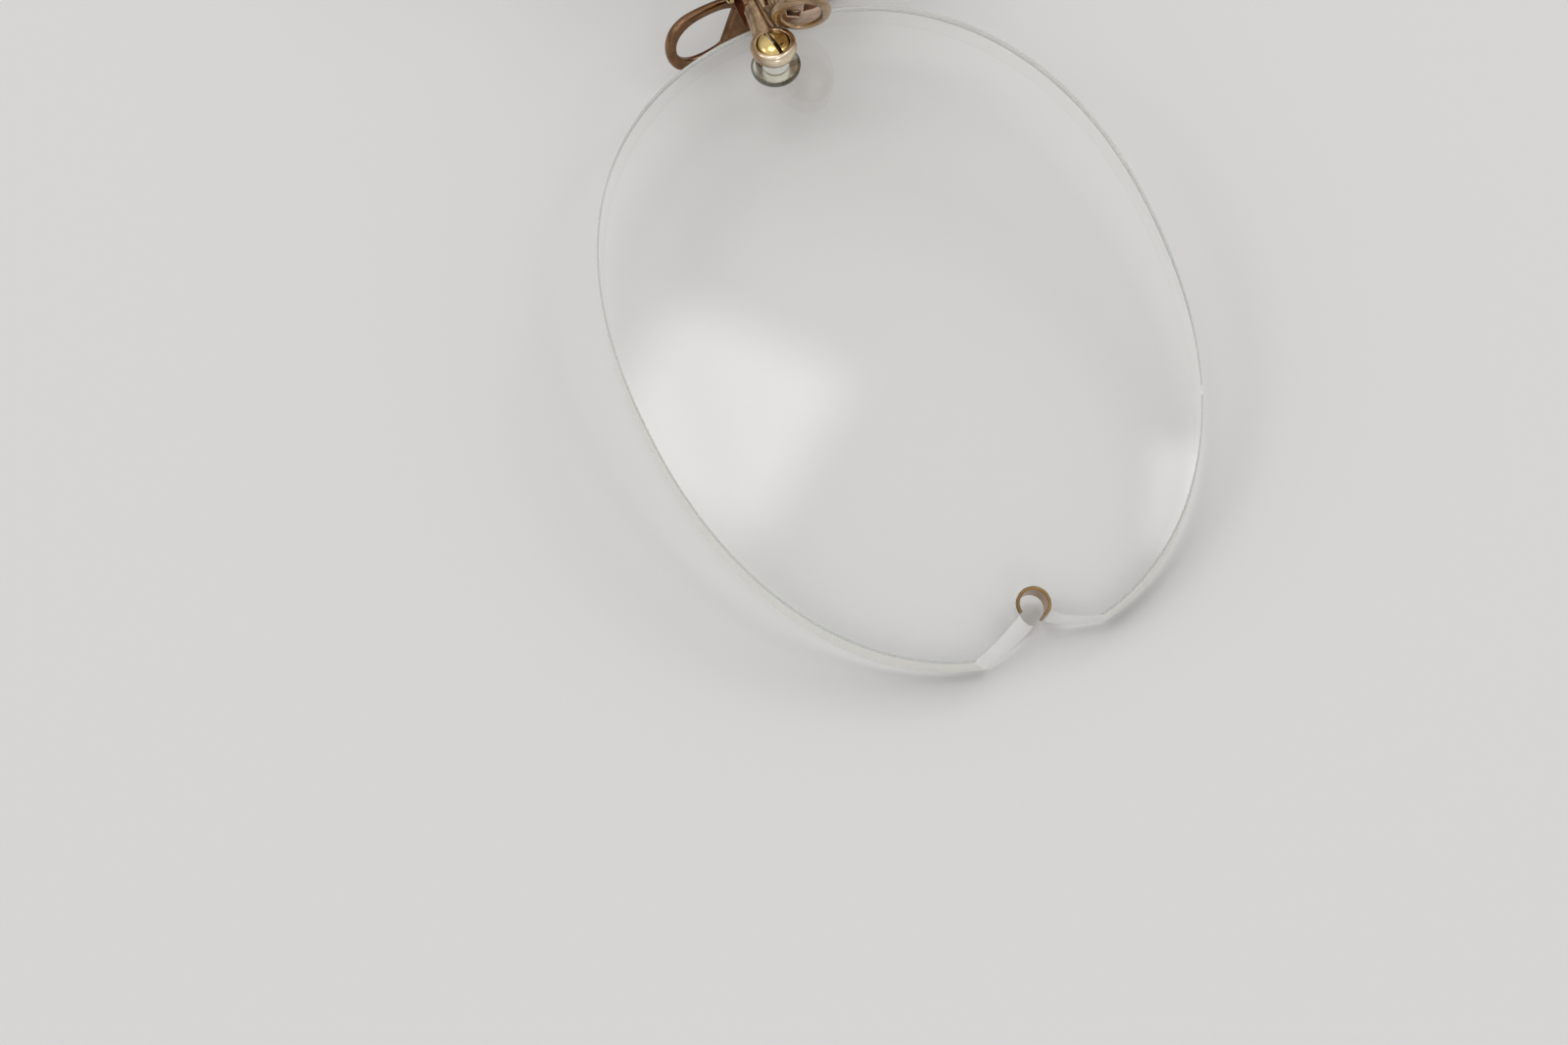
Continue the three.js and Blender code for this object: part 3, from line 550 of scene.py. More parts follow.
def lens_blank(lens):
    """The whole lens with its polished faces, safety bevels and ground edge"""
    shape = bmesh.new()
    edge = [lens_edge(lens, turn) for turn in full_turns(lens.sides)]
    face_share = 1 - 2 * lens.bevel / lens.height
    shares = [face_share * ring / lens.rings for ring in range(1, lens.rings + 1)]

    def ring(share, height, drop=0):
        points = [point * share for point in edge]
        return add_ring(shape, [Vector((*point, height(lens, point.length) + drop)) for point in points])

    front = [ring(share, front_height) for share in shares]
    back = [ring(share, back_height) for share in shares]
    rim = [ring(1, front_height, -lens.bevel), ring(1, back_height, lens.bevel)]
    for rings, height in ((front, front_height), (back, back_height)):
        close_ring(shape, rings[0], Vector((0, 0, height(lens, 0))), FACE)
        for inner, outer in zip(rings, rings[1:]):
            join_rings(shape, inner, outer, FACE)
    join_rings(shape, front[-1], rim[0], BEVEL)
    join_rings(shape, rim[0], rim[1], EDGE)
    join_rings(shape, rim[1], back[-1], BEVEL)
    return to_mesh("lens", shape)


def drill(lens, radius, distance):
    """A round cutter through the glass, square to its surface"""
    reach = 2 * lens.thickness
    bit = lathe([(0, -reach), (radius, -reach), (radius, reach), (0, reach)], 72, EDGE)
    return put(bit, glass_frame(lens, distance))


# The two sides of the break, from the cord hole to the lens edge: parts of the hole's inset and of the reach
CHEEK_SIDE = ((0.17, 0.04), (0.44, 0.26), (0.73, 0.63), (0.9, 1))
BROW_SIDE = ((0.33, 0.14), (0.5, 0.19), (0.81, 0.51), (0.94, 1))


def break_flank(lens, side, reach, steps):
    """One side of the break in the cord hole's frame"""
    points = [Vector((along * lens.cord_inset, up * reach)) for along, up in side]
    return [bezier(points, step / steps) for step in range(steps + 1)]


def break_cutter(lens):
    """The broken-out glass: shell-like flanks that reach further at the front than at the back"""
    place = glass_frame(lens, lens.length / 2 - lens.cord_inset)
    steps = 26
    levels = 17
    depth = 2.2 * lens.thickness
    beyond = 1.4 * lens.cord_inset
    ripple = 0.02 * MM
    waves_along = 5
    waves_down = 3
    cheek = break_flank(lens, CHEEK_SIDE, -lens.cheek_reach, steps)
    brow = break_flank(lens, BROW_SIDE, lens.brow_reach, steps)
    loops = []
    for level in range(levels):
        share = level / (levels - 1)
        height = depth * (share - 0.5)
        bowl = math.sin(math.pi * (share - 0.5))
        halves = []
        for flank, slant in ((cheek, -lens.cheek_slant), (brow, lens.brow_slant)):
            set_back = abs(slant) * bowl / 6
            points = []
            for step, point in enumerate(flank):
                wave = ripple * math.sin(math.pi * (waves_along * step / steps + waves_down * share))
                points.append(Vector((point.x - set_back, point.y + (slant * bowl + wave))))
            halves.append(points + [Vector((beyond, points[-1].y))])
        loop = halves[0] + list(reversed(halves[1]))
        loops.append([place @ Vector((*point, height)) for point in loop])
    return skin("break", loops, material=BREAK)


def nick_cutter(lens):
    """A small shell-shaped nick out of the front edge"""
    rows = 8
    flatness = 0.45
    stand_off = 0.2 * lens.nick_radius
    edge = lens_edge(lens, lens.nick_turn)
    rises = [math.pi * (row / rows - 0.5) for row in range(rows + 1)]
    profile = [(lens.nick_radius * math.cos(rise), lens.nick_radius * math.sin(rise)) for rise in rises]
    top = Vector((*edge, front_height(lens, edge.length)))
    outwards = Vector((*edge.normalized(), 0))
    place = Matrix.Translation(top + outwards * stand_off) @ Matrix.Scale(flatness, 4, outwards)
    return put(lathe(profile, 24, BREAK), place)


def polish(lens, mesh):
    """Exact normals on the two faces of the lens, so that nothing seen through it is bent by its facets"""
    front_middle = Vector((0, 0, lens.thickness / 2 - lens.front_radius))
    back_middle = Vector((0, 0, -lens.thickness / 2 - lens.back_radius))
    mesh.shade_smooth()
    smooth = [Vector(corner.vector) for corner in mesh.corner_normals]
    for polygon in mesh.polygons:
        for corner in polygon.loop_indices:
            point = mesh.vertices[mesh.loops[corner].vertex_index].co
            if polygon.material_index != FACE:
                smooth[corner] = polygon.normal.copy()
            elif polygon.normal.z > 0:
                smooth[corner] = (point - front_middle).normalized()
            else:
                smooth[corner] = (back_middle - point).normalized()
    mesh.normals_split_custom_set(smooth)


def lens_mesh(lens, side, finishes):
    cutters = [drill(lens, lens.strap_hole, lens.strap_inset - lens.length / 2)]
    if side == "left":
        cutters.append(drill(lens, lens.cord_hole, lens.length / 2 - lens.cord_inset))
        cutters.append(break_cutter(lens))
        cutters.append(nick_cutter(lens))
    mesh = combine(dress(lens_blank(lens), *finishes), cutters, "DIFFERENCE")
    polish(lens, mesh)
    return put(mesh, lens_matrix(lens, side))


def bush_mesh(lens, mount):
    """The split sleeve in the cord hole, its two ends turned over a little"""
    outer = lens.cord_hole - mount.bush_gap
    inner = outer - mount.bush_wall
    end = glass_half(lens, lens.cord_inset) + mount.bush_stand_out
    lip = mount.bush_wall / 3
    section = [(outer - lip, -end), (outer, lip - end), (outer, end - lip), (outer - lip, end),
               (inner + lip, end), (inner, end - lip), (inner, lip - end), (inner + lip, -end)]
    steps = 60
    start = mount.bush_turn + mount.bush_opening / 2
    loops = []
    for step in range(steps + 1):
        turn = start + (2 * math.pi - mount.bush_opening) * step / steps
        loop = [(radius * math.cos(turn), radius * math.sin(turn), height) for radius, height in section]
        loops.append(loop)
    place = lens_matrix(lens, "left") @ glass_frame(lens, lens.length / 2 - lens.cord_inset)
    return put(shade(skin("bush", loops)), place)


# Straps, screws and rivets

def strap_arm(lens, mount):
    """The half-round front arm of the strap, flaring into its ear"""
    low = ear_inner(lens, mount)
    flare = mount.front_ear * 0.95
    steps = 12
    sides = 24
    loops = []
    for share in [step / steps for step in range(steps + 1)]:
        along = mount.arm_start * (1 - share)
        half = mount.arm_half + (flare - mount.arm_half) * share ** 2
        raised = mount.arm_raise * (1 - share)
        loop = []
        for place in circle(1, sides):
            rise = mount.arm_rise * place.y if place.y > 0 else mount.ear_gap / 2 * place.y
            loop.append(Vector((along, raised + half * place.x, low + rise)))
        loops.append(loop)
    middle = low + mount.arm_rise / 2
    return skin("arm", loops, ((mount.arm_start, mount.arm_raise, middle), (0, 0, middle)))


def cup_profile(mount, low, high):
    """The front ear: a round bead outside, with a raised rim round the screw head"""
    top = high + mount.cup_rim
    belly = (mount.front_ear, high + mount.cup_rim * 0.27)
    foot = (mount.front_ear * 0.66, low)
    inner = mount.front_ear - mount.cup_wall
    lip = mount.cup_wall * 0.2
    steps = 8
    bead = arc(foot, belly, steps)[:-1] + arc((inner + lip, top), belly, steps)[::-1]
    return [(0, low), *bead, (inner, top - lip), (inner, high), (0, high)]


def button_profile(mount, inner, outer):
    """The rear ear: flat against the glass, its back rounded"""
    foot = (mount.rear_ear * 0.6, outer)
    belly = (mount.rear_ear, inner - mount.ear_thickness * 0.2)
    return [(0, outer), *arc(foot, belly, 8), (mount.rear_ear, inner), (0, inner)]


def front_cup(lens, mount):
    """The front ear, its rim lower on the side of the nose"""
    low = ear_inner(lens, mount)
    high = ear_outer(lens, mount)
    low_side = 0.4
    cup = lathe(cup_profile(mount, low, high))
    for vertex in cup.vertices:
        if vertex.co.z > high:
            toward_lens = (1 + vertex.co.x / mount.front_ear) / 2
            vertex.co.z = high + (vertex.co.z - high) * (low_side + (1 - low_side) * toward_lens)
    return cup


def strap_mesh(lens, mount, side, grain):
    """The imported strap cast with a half-round arm, a cup for the front ear and a button for the rear one"""
    place = mount_matrix(lens, side)
    low = ear_inner(lens, mount)
    high = ear_outer(lens, mount)
    reach = 2 * mount.rear_ear
    front_cut = mount.arm_start * 0.8
    rear_cut = mount.rear_ear * -0.65
    ears = [block((front_cut, -reach, low / 2), (reach, reach, 2 * high)),
            block((rear_cut, -reach, -2 * high), (reach, reach, -low / 2))]
    rest = combine(packed(f"lens_strap_{side}"), [put(ear, place) for ear in ears], "DIFFERENCE")
    button = lathe(button_profile(mount, -low, -high))
    added = [put(mesh, place) for mesh in (front_cup(lens, mount), strap_arm(lens, mount), button)]
    return cast("strap", [rest, *added], grain, rounds=5)


def headed_shank(shank, tail, seat, head, rise):
    """A turned screw or rivet: a shank along Z from its tail to its seat, and a domed head"""
    chamfer = shank * 0.2
    under_edge = head * 0.93
    edge_top = seat + rise * 0.12
    dome_foot = seat + rise * 0.3
    profile = [(0, tail), (shank - chamfer, tail), (shank, tail + chamfer), (shank, seat)]
    profile += [(under_edge, seat), (head, edge_top)]
    return lathe(profile + arc((0, seat + rise), (head, dome_foot), 12)[::-1])


# The second material of a screw is that of its slot, painted near black as painted shade in the recess
SLOT = 1


def slot_cutter(mount, head, top, turn):
    """A cutter for the screwdriver slot, its floor below the top of the head"""
    corner = Vector((2 * head, mount.slot_width / 2, mount.slot_depth))
    middle = Vector((0, 0, top))
    return put(paint(block(middle - corner, middle + corner), SLOT), Matrix.Rotation(turn, 4, "Z"))


def slotted(screw, slot, finishes):
    return shade(combine(dress(screw, *finishes), [slot], "DIFFERENCE"))


def lens_screw_mesh(lens, mount, side, finishes):
    seat = ear_outer(lens, mount) + mount.ear_gap
    tail = -ear_outer(lens, mount) - mount.screw_tail
    screw = headed_shank(mount.screw_shank, tail, seat, mount.screw_head, mount.screw_rise)
    slot = slot_cutter(mount, mount.screw_head, seat + mount.screw_rise, mount.screw_turn)
    return put(slotted(screw, slot, finishes), mount_matrix(lens, side))


def pivot_screw_mesh(lens, mount, side, finishes):
    seat = PIVOT_GAP - BRACKET_BOTTOM
    tail = PIVOT_GAP - BRACKET_TOP
    screw = headed_shank(mount.pivot_shank, tail, seat, mount.pivot_head, mount.pivot_rise)
    slot = slot_cutter(mount, mount.pivot_head, seat + mount.pivot_rise, 0)
    return put(slotted(screw, slot, finishes), mount_matrix(lens, side) @ pivot_frame())


def rivet_mesh(lens, mount, side):
    tail = -mount.guard_thickness / 2
    rivet = headed_shank(mount.rivet_shank, tail, mount.rivet_seat, mount.rivet_head, mount.rivet_rise)
    return put(shade(rivet), mount_matrix(lens, side) @ guard_frame(mount))


# Finger pieces and guards; the second material of a finger piece is that of its web, painted paler than the
# rim as painted light on its flat face

WEB = 1

# Corners of the two openings in the finger piece's web, as parts of its half width and half length
NEAR_OPENING = ((-0.56, 0.34), (-0.46, -0.16), (-0.06, -0.24), (-0.06, 0.22))
FAR_OPENING = ((0.04, 0.72), (0.04, 0.12), (0.34, 0.26), (0.54, 0.44), (0.34, 0.66))


def finger_rim(mount, steps=96, sides=20):
    """The round-edged rim of the finger piece"""
    across = (mount.finger_width - mount.finger_rim) / 2
    along = (mount.finger_length - mount.finger_rim) / 2
    loops = []
    for turn in full_turns(steps):
        middle = Vector((across * math.cos(turn), along * math.sin(turn), 0))
        outwards = Vector((along * math.cos(turn), across * math.sin(turn), 0)).normalized()
        loop = []
        for place in circle(1, sides):
            rise = Vector((0, 0, place.y * mount.finger_thickness / 2))
            loop.append(middle + outwards * place.x * mount.finger_rim / 2 + rise)
        loops.append(loop)
    return skin("rim", loops, around=True)


def finger_web(mount):
    """The sunk web of the finger piece with its two pierced openings"""
    across = mount.finger_width / 2
    along = mount.finger_length / 2
    inside = mount.finger_rim / 2
    edge = [Vector((point.x * (across - inside), point.y * (along - inside))) for point in circle(1, 72)]
    loops = [edge]
    for corners in (NEAR_OPENING, FAR_OPENING):
        loops.append([Vector((x * across, y * along)) for x, y in corners])
    web = flat_plate(loops, mount.finger_thickness - mount.finger_sink, mount.finger_rounding)
    return put(paint(web, WEB), Matrix.Translation((0, 0, -mount.finger_sink / 2)))


def finger_mesh(lens, mount, side, finishes):
    mesh = combine(dress(finger_rim(mount), *finishes), [finger_web(mount)], "UNION")
    return put(shade(mesh), mount_matrix(lens, side) @ finger_frame(lens, mount))


def lobe_curves(mount, end):
    """The curves of one lobe of the guard, from the waist round its tip and back to the waist"""
    half = end * mount.guard_width / 2
    tip = end * mount.guard_length / 2
    waist = end * mount.guard_waist / 2
    return [((half * 0.9, tip * 0.2), (half, tip * 0.5), (half, tip * 0.68)),
            ((half, tip * 0.92), (half * 0.5, tip), (0, tip)),
            ((-half * 0.5, tip), (-half, tip * 0.92), (-half, tip * 0.68)),
            ((-half, tip * 0.5), (-half * 0.9, tip * 0.2), (-waist, 0))]


def lobe_opening(mount, end):
    """The opening of one lobe, its inner end slanting across the web"""
    half = mount.guard_width / 2 - mount.guard_strip
    tip = end * (mount.guard_length / 2 - mount.guard_strip)
    front_root = end * mount.guard_web
    back_root = end * (mount.guard_web + mount.guard_web_slant)
    curves = [((-half * 0.9, front_root * 1.3), (-half, tip * 0.48), (-half, tip * 0.66)),
              ((-half, tip * 0.9), (-half * 0.5, tip), (0, tip)),
              ((half * 0.5, tip), (half, tip * 0.9), (half, tip * 0.66)),
              ((half, tip * 0.58), (half, tip * 0.52), (half * 0.9, back_root))]
    return outline((-half * 0.6, front_root), curves)


def guard_mesh(lens, mount, side):
    edge = outline((mount.guard_waist / 2, 0), lobe_curves(mount, 1) + lobe_curves(mount, -1))[:-1]
    hole = circle(mount.rivet_shank, 40)
    loops = [edge, lobe_opening(mount, 1), lobe_opening(mount, -1), hole]
    mesh = flat_plate(loops, mount.guard_thickness, mount.guard_rounding)
    return put(shade(mesh), mount_matrix(lens, side) @ guard_frame(mount))


# Springs

def spring_mesh(lens, spring, side):
    """The wire: a leg to the bracket, the turns, and a leg down to the lever's collar"""
    top = HUB_TOP - spring.wire
    start = SPINE_BACK - PIVOT_GAP
    end = COLLAR_TOP + PIVOT_GAP
    leg_steps = 6
    points = []
    for step in range(leg_steps):
        points.append(Vector((start + (PIVOT_X - start) * step / leg_steps, top, -spring.radius)))
    for step in range(spring.turns * spring.steps + 1):
        turn = 2 * math.pi * step / spring.steps
        height = top - spring.pitch * step / spring.steps
        along = PIVOT_X - spring.radius * math.sin(turn)
        points.append(Vector((along, height, -spring.radius * math.cos(turn))))
    last = points[-1]
    lower_leg = ((0.6, last.y - spring.bend * 0.4), (1.0, last.y - spring.bend),
                 (1.2, end + spring.wire), (1.2, end))
    for along, height in lower_leg:
        points.append(Vector((last.x - along * spring.bend, height, last.z)))
    return put(tube(points, spring.wire / 2, 12), mount_matrix(lens, side))


# Materials

def feed(tree, socket, value):
    """Link an input to a source, or set it to a number or a colour"""
    if isinstance(value, bpy.types.NodeSocket):
        tree.links.new(value, socket)
    elif socket.type == "RGBA":
        socket.default_value = (*value, 1)
    else:
        socket.default_value = value


def node(tree, kind, **values):
    """A new node, its inputs fed and its settings set by name"""
    made = tree.nodes.new(kind)
    for name, value in values.items():
        label = name.replace("_", " ").title()
        if label in made.inputs:
            feed(tree, made.inputs[label], value)
        else:
            setattr(made, name, value)
    return made


def object_place(tree):
    return node(tree, "ShaderNodeTexCoord").outputs["Object"]


def spread(tree, source, from_min, from_max, to_min=0.0, to_max=1.0, kind="LINEAR"):
    """The source stretched from one range to another"""
    made = node(tree, "ShaderNodeMapRange", interpolation_type=kind, value=source,
                from_min=from_min, from_max=from_max, to_min=to_min, to_max=to_max)
    return made.outputs["Result"]


def reckon(tree, operation, first, second=0.0):
    """A sum, product or comparison of a source with another source or a number"""
    made = node(tree, "ShaderNodeMath", operation=operation)
    feed(tree, made.inputs[0], first)
    feed(tree, made.inputs[1], second)
    return made.outputs[0]


def blend(tree, share, first, second):
    """A colour between two, each a source or a colour of its own"""
    made = node(tree, "ShaderNodeMix", data_type="RGBA", factor=share)
    feed(tree, made.inputs[6], first)
    feed(tree, made.inputs[7], second)
    return made.outputs[2]


def noise(tree, place, scale, detail, roughness):
    made = node(tree, "ShaderNodeTexNoise", scale=scale, detail=detail, roughness=roughness, vector=place)
    return made.outputs["Fac"]


def mix_shaders(tree, share, first, second):
    """One shader or the other, by a share"""
    made = node(tree, "ShaderNodeMixShader")
    for socket, source in zip(made.inputs, (share, first, second)):
        feed(tree, socket, source)
    return made.outputs["Shader"]


NUMBER, COLOUR = "NodeSocketFloat", "NodeSocketColor"


def shader_group(name, inputs, outputs):
    """An empty node group with its named sockets"""
    tree = bpy.data.node_groups.new(name, "ShaderNodeTree")
    for label, kind, value in inputs:
        socket = tree.interface.new_socket(label, in_out="INPUT", socket_type=kind)
        socket.default_value = value
    for label, kind in outputs:
        tree.interface.new_socket(label, in_out="OUTPUT", socket_type=kind)
    return tree, node(tree, "NodeGroupInput").outputs, node(tree, "NodeGroupOutput").inputs


def worn_metal_group():
    """Tarnish in slow patches and in the hollows, bright raised edges, fine grain and hairline scratches"""
    name = "Worn metal"
    if name in bpy.data.node_groups:
        return bpy.data.node_groups[name]
    tree, given, result = shader_group(
        name,
        [("Clean", COLOUR, (0.6, 0.35, 0.22, 1)), ("Tarnish", COLOUR, (0.1, 0.05, 0.03, 1)),
         ("Amount", NUMBER, 0.5), ("Shine", NUMBER, 0.2), ("Dullness", NUMBER, 0.45)],
        [("Color", COLOUR), ("Roughness", NUMBER), ("Height", NUMBER)])
    place = object_place(tree)
    drawn_out = node(tree, "ShaderNodeMapping", scale=(1.0, 14.0, 1.0), vector=place).outputs["Vector"]
    patches = spread(tree, noise(tree, place, scale=900.0, detail=6.0, roughness=0.62), 0.36, 0.66)
    grain = noise(tree, place, scale=9000.0, detail=3.0, roughness=0.6)
    scratches = noise(tree, drawn_out, scale=2600.0, detail=4.0, roughness=0.7)
    relief = node(tree, "ShaderNodeNewGeometry").outputs["Pointiness"]
    kept_on_edges = spread(tree, relief, 0.49, 0.56, 1.0, 0.3)
    hollow = spread(tree, relief, 0.42, 0.485, 0.6, 0.0)
    patchy = reckon(tree, "MULTIPLY", reckon(tree, "MULTIPLY", patches, given["Amount"]), kept_on_edges)
    share = reckon(tree, "ADD", patchy, hollow)
    feed(tree, result["Color"], blend(tree, share, given["Clean"], given["Tarnish"]))
    feed(tree, result["Roughness"], spread(tree, share, 0.0, 1.0, given["Shine"], given["Dullness"]))
    feed(tree, result["Height"], reckon(tree, "ADD", reckon(tree, "MULTIPLY", scratches, 0.6), grain))
    return tree


def speck_group():
    """Sparse dust specks: the middles of a few cells"""
    name = "Dust specks"
    if name in bpy.data.node_groups:
        return bpy.data.node_groups[name]
    tree, given, result = shader_group(
        name, [("Scale", NUMBER, 400.0), ("Share", NUMBER, 0.1), ("Size", NUMBER, 0.05)], [("Mask", NUMBER)])
    cells = node(tree, "ShaderNodeTexVoronoi", feature="F1", vector=object_place(tree), scale=given["Scale"])
    near = reckon(tree, "LESS_THAN", cells.outputs["Distance"], given["Size"])
    chance = node(tree, "ShaderNodeSeparateColor", color=cells.outputs["Color"]).outputs["Red"]
    few = reckon(tree, "LESS_THAN", chance, given["Share"])
    feed(tree, result["Mask"], reckon(tree, "MULTIPLY", near, few))
    return tree


def new_material(name, **values):
    """A material with only its output and a Principled shader with these inputs"""
    material = bpy.data.materials.new(name)
    material.use_nodes = True
    tree = material.node_tree
    tree.nodes.clear()
    out = node(tree, "ShaderNodeOutputMaterial")
    shader = node(tree, "ShaderNodeBsdfPrincipled", **values)
    feed(tree, out.inputs["Surface"], shader.outputs["BSDF"])
    return material, tree, shader, out


def add_bump(tree, shader, height, strength, distance):
    raised = node(tree, "ShaderNodeBump", strength=strength, distance=distance, height=height)
    feed(tree, shader.inputs["Normal"], raised.outputs["Normal"])


def metal_material(name, clean, amount, shine, dullness, grazing=(1, 1, 1)):
    """A worn metal, with the material's own nodes for what is added to it"""
    material, tree, shader, _ = new_material(name, metallic=1.0, specular_tint=grazing)
    tarnish = bpy.context.scene.pince_metal.tarnish
    worn = node(tree, "ShaderNodeGroup", node_tree=worn_metal_group(), clean=clean, tarnish=tarnish,
                amount=amount, shine=shine, dullness=dullness)
    feed(tree, shader.inputs["Base Color"], worn.outputs["Color"])
    feed(tree, shader.inputs["Roughness"], worn.outputs["Roughness"])
    add_bump(tree, shader, worn.outputs["Height"], strength=0.45, distance=0.004 * MM)
    return material, tree, shader, worn


def metal(name):
    """A metal finish by name, made when first asked for"""
    if name not in bpy.data.materials:
        tints = bpy.context.scene.pince_metal
        # Clean colour, share of tarnish, roughness where clean and where dull, tint when seen along
        finishes = {
            "worn_rose_gold": (tints.rose, 0.75, 0.16, 0.4),
            "worn_guard_gold": (tints.guard, 0.8, 0.2, 0.42),
            # Painted shade: the brackets take the dark guard gold, heavy tarnish and a dark grazing tint, so
            # they read as the shade round them
            "bracket_gold_painted_shade": (tints.guard, 0.9, 0.26, 0.5, tints.guard),
            "worn_brass": (tints.brass, 0.35, 0.14, 0.35),
            # Painted light: the paler gold of the finger pieces' webs
            "web_gold_painted_light": (tints.web, 0.4, 0.2, 0.4),
            "dark_bush_gold": (tints.bush, 0.9, 0.2, 0.4),
            # Painted shade: the slots take the dark tarnish colour so they read as shaded
            "slot_painted_shade": (tints.tarnish, 0.5, 0.4, 0.6),
            "dull_steel": (tints.steel, 0.4, 0.25, 0.5),
        }
        metal_material(name, *finishes[name])
    return bpy.data.materials[name]


def distance_from(tree, middle):
    """How far each point lies from one place on the strap, the same on both sides"""
    parts = node(tree, "ShaderNodeSeparateXYZ", vector=object_place(tree)).outputs
    outwards = reckon(tree, "ABSOLUTE", parts["X"])
    folded = node(tree, "ShaderNodeCombineXYZ", x=outwards, y=parts["Y"], z=parts["Z"])
    apart = node(tree, "ShaderNodeVectorMath", operation="DISTANCE")
    feed(tree, apart.inputs[0], folded.outputs["Vector"])
    feed(tree, apart.inputs[1], (abs(middle.x), middle.y, middle.z))
    return apart.outputs["Value"]


def strap_metal(lens, mount, tints):
    """Rose gold with a painted highlight on the front ear's bead, a painted reflection on the rear ear's
    inner face and painted shade at the rear ear's edge
    """
    material, tree, shader, worn = metal_material("strap_gold_with_painted_light", tints.rose, 0.75, 0.16, 0.4)
    place = mount_matrix(lens, SIDES[0])
    soft = 0.06 * MM
    painted_highlight_height = ear_outer(lens, mount) + mount.cup_rim * 1.1
    ear = distance_from(tree, place @ Vector((0, 0, -ear_inner(lens, mount))))
    bead = distance_from(tree, place @ Vector((mount.front_ear * 0.75, 0, painted_highlight_height)))
    # Painted reflection: the rear ear's inner face is painted pale
    painted_reflection_mask = spread(tree, ear, mount.lining + soft, mount.lining - soft)
    # Painted shade: the rear ear's edge is painted dark outside its pale face
    edged = spread(tree, ear, mount.rear_ear * 1.25, mount.rear_ear * 1.05)
    # Painted highlight: the bead turns pale gold round the place where the lamps' highlight falls
    painted_highlight = spread(tree, bead, mount.front_ear * 0.95, mount.front_ear * 0.6)
    bright = blend(tree, painted_highlight, worn.outputs["Color"], tints.bead)
    dark = blend(tree, edged, bright, tints.painted_shade_edge)
    feed(tree, shader.inputs["Base Color"], blend(tree, painted_reflection_mask, dark, tints.lining))
    return material


# Light that has turned more often than this goes straight on through the glass
TURNS_IN_GLASS = 4.5


def let_light_through(tree, shader, out, share):
    """Lamps and the room shine through the glass by a share, and light caught between its faces comes out"""
    path = node(tree, "ShaderNodeLightPath").outputs
    glass = shader.outputs["BSDF"]
    clear = node(tree, "ShaderNodeBsdfTransparent", color=(share, share, share)).outputs["BSDF"]
    caught = reckon(tree, "GREATER_THAN", path["Ray Depth"], TURNS_IN_GLASS)
    seen = mix_shaders(tree, path["Is Camera Ray"], mix_shaders(tree, caught, glass, clear), glass)
    for ray in ("Is Shadow Ray", "Is Diffuse Ray"):
        seen = mix_shaders(tree, path[ray], seen, clear)
    feed(tree, out.inputs["Surface"], seen)


def glass_material(name, clear, roughness, lamps):
    """Glass that is clear by a share, with the share of lamp light that it lets through"""
    material, tree, shader, out = new_material(
        name, metallic=0.0, transmission_weight=clear, roughness=roughness)
    shader.inputs["IOR"].default_value = 1.52
    let_light_through(tree, shader, out, lamps)
    return material, tree, shader


def polished_glass():
    """Clear glass with a few dust specks"""
    material, tree, shader = glass_material("polished_glass", clear=1.0, roughness=0.0, lamps=0.98)
    dust = node(tree, "ShaderNodeGroup", node_tree=speck_group(), scale=420.0, share=0.03, size=0.045)
    tint = blend(tree, dust.outputs["Mask"], (0.99, 0.993, 0.985), (0.2, 0.18, 0.16))
    feed(tree, shader.inputs["Base Color"], tint)
    return material


def ground_glass():
    """The matt edge"""
    material, tree, shader = glass_material("ground_glass_edge", clear=0.2, roughness=0.5, lamps=0.1)
    grain = noise(tree, object_place(tree), scale=7000.0, detail=4.0, roughness=0.65)
    feed(tree, shader.inputs["Base Color"], blend(tree, grain, (0.89, 0.875, 0.80), (0.98, 0.97, 0.92)))
    add_bump(tree, shader, grain, strength=0.35, distance=0.01 * MM)
    return material


def bevelled_glass():
    """The narrow safety bevel, painted a little darker than the edge: painted shade for the dark line along
    the lens's edge
    """
    material, tree, shader = glass_material("bevelled_glass", clear=0.6, roughness=0.2, lamps=0.3)
    grain = noise(tree, object_place(tree), scale=5000.0, detail=3.0, roughness=0.6)
    feed(tree, shader.inputs["Base Color"], blend(tree, grain, (0.55, 0.58, 0.54), (0.75, 0.77, 0.73)))
    return material


def broken_glass():
    """The shell-like break with its faint ripples"""
    material, tree, shader = glass_material("broken_glass", clear=0.15, roughness=0.25, lamps=0.35)
    ripples = noise(tree, object_place(tree), scale=1600.0, detail=3.0, roughness=0.5)
    feed(tree, shader.inputs["Base Color"], blend(tree, ripples, (0.9, 0.9, 0.87), (0.99, 0.99, 0.98)))
    add_bump(tree, shader, ripples, strength=0.35, distance=0.04 * MM)
    return material


# Stage: the camera of the photograph, in the frame of the part
CAMERA_PLACE = Vector((172.4, -54.67, 271.61)) * MM
CAMERA_RIGHT = Vector((0.3913, 0.9191, -0.0468))
CAMERA_DOWN = Vector((0.8045, -0.3663, -0.4675))

# Each lamp's name, its way from the lens, its side in millimetres and the brightness of its face
LAMPS = (("overhead_lamp", (-0.17, -0.13, 0.98), 330, 3.2),
         ("brow_lamp", (0.2, 0.47, 0.86), 200, 3.4),
         ("window_lamp", (-0.5, 0.65, 0.55), 330, 3.2),
         ("cheek_lamp", (-0.28, -0.65, 0.71), 300, 2.2),
         ("front_lamp", (0.75, -0.1, 0.65), 220, 4.0))


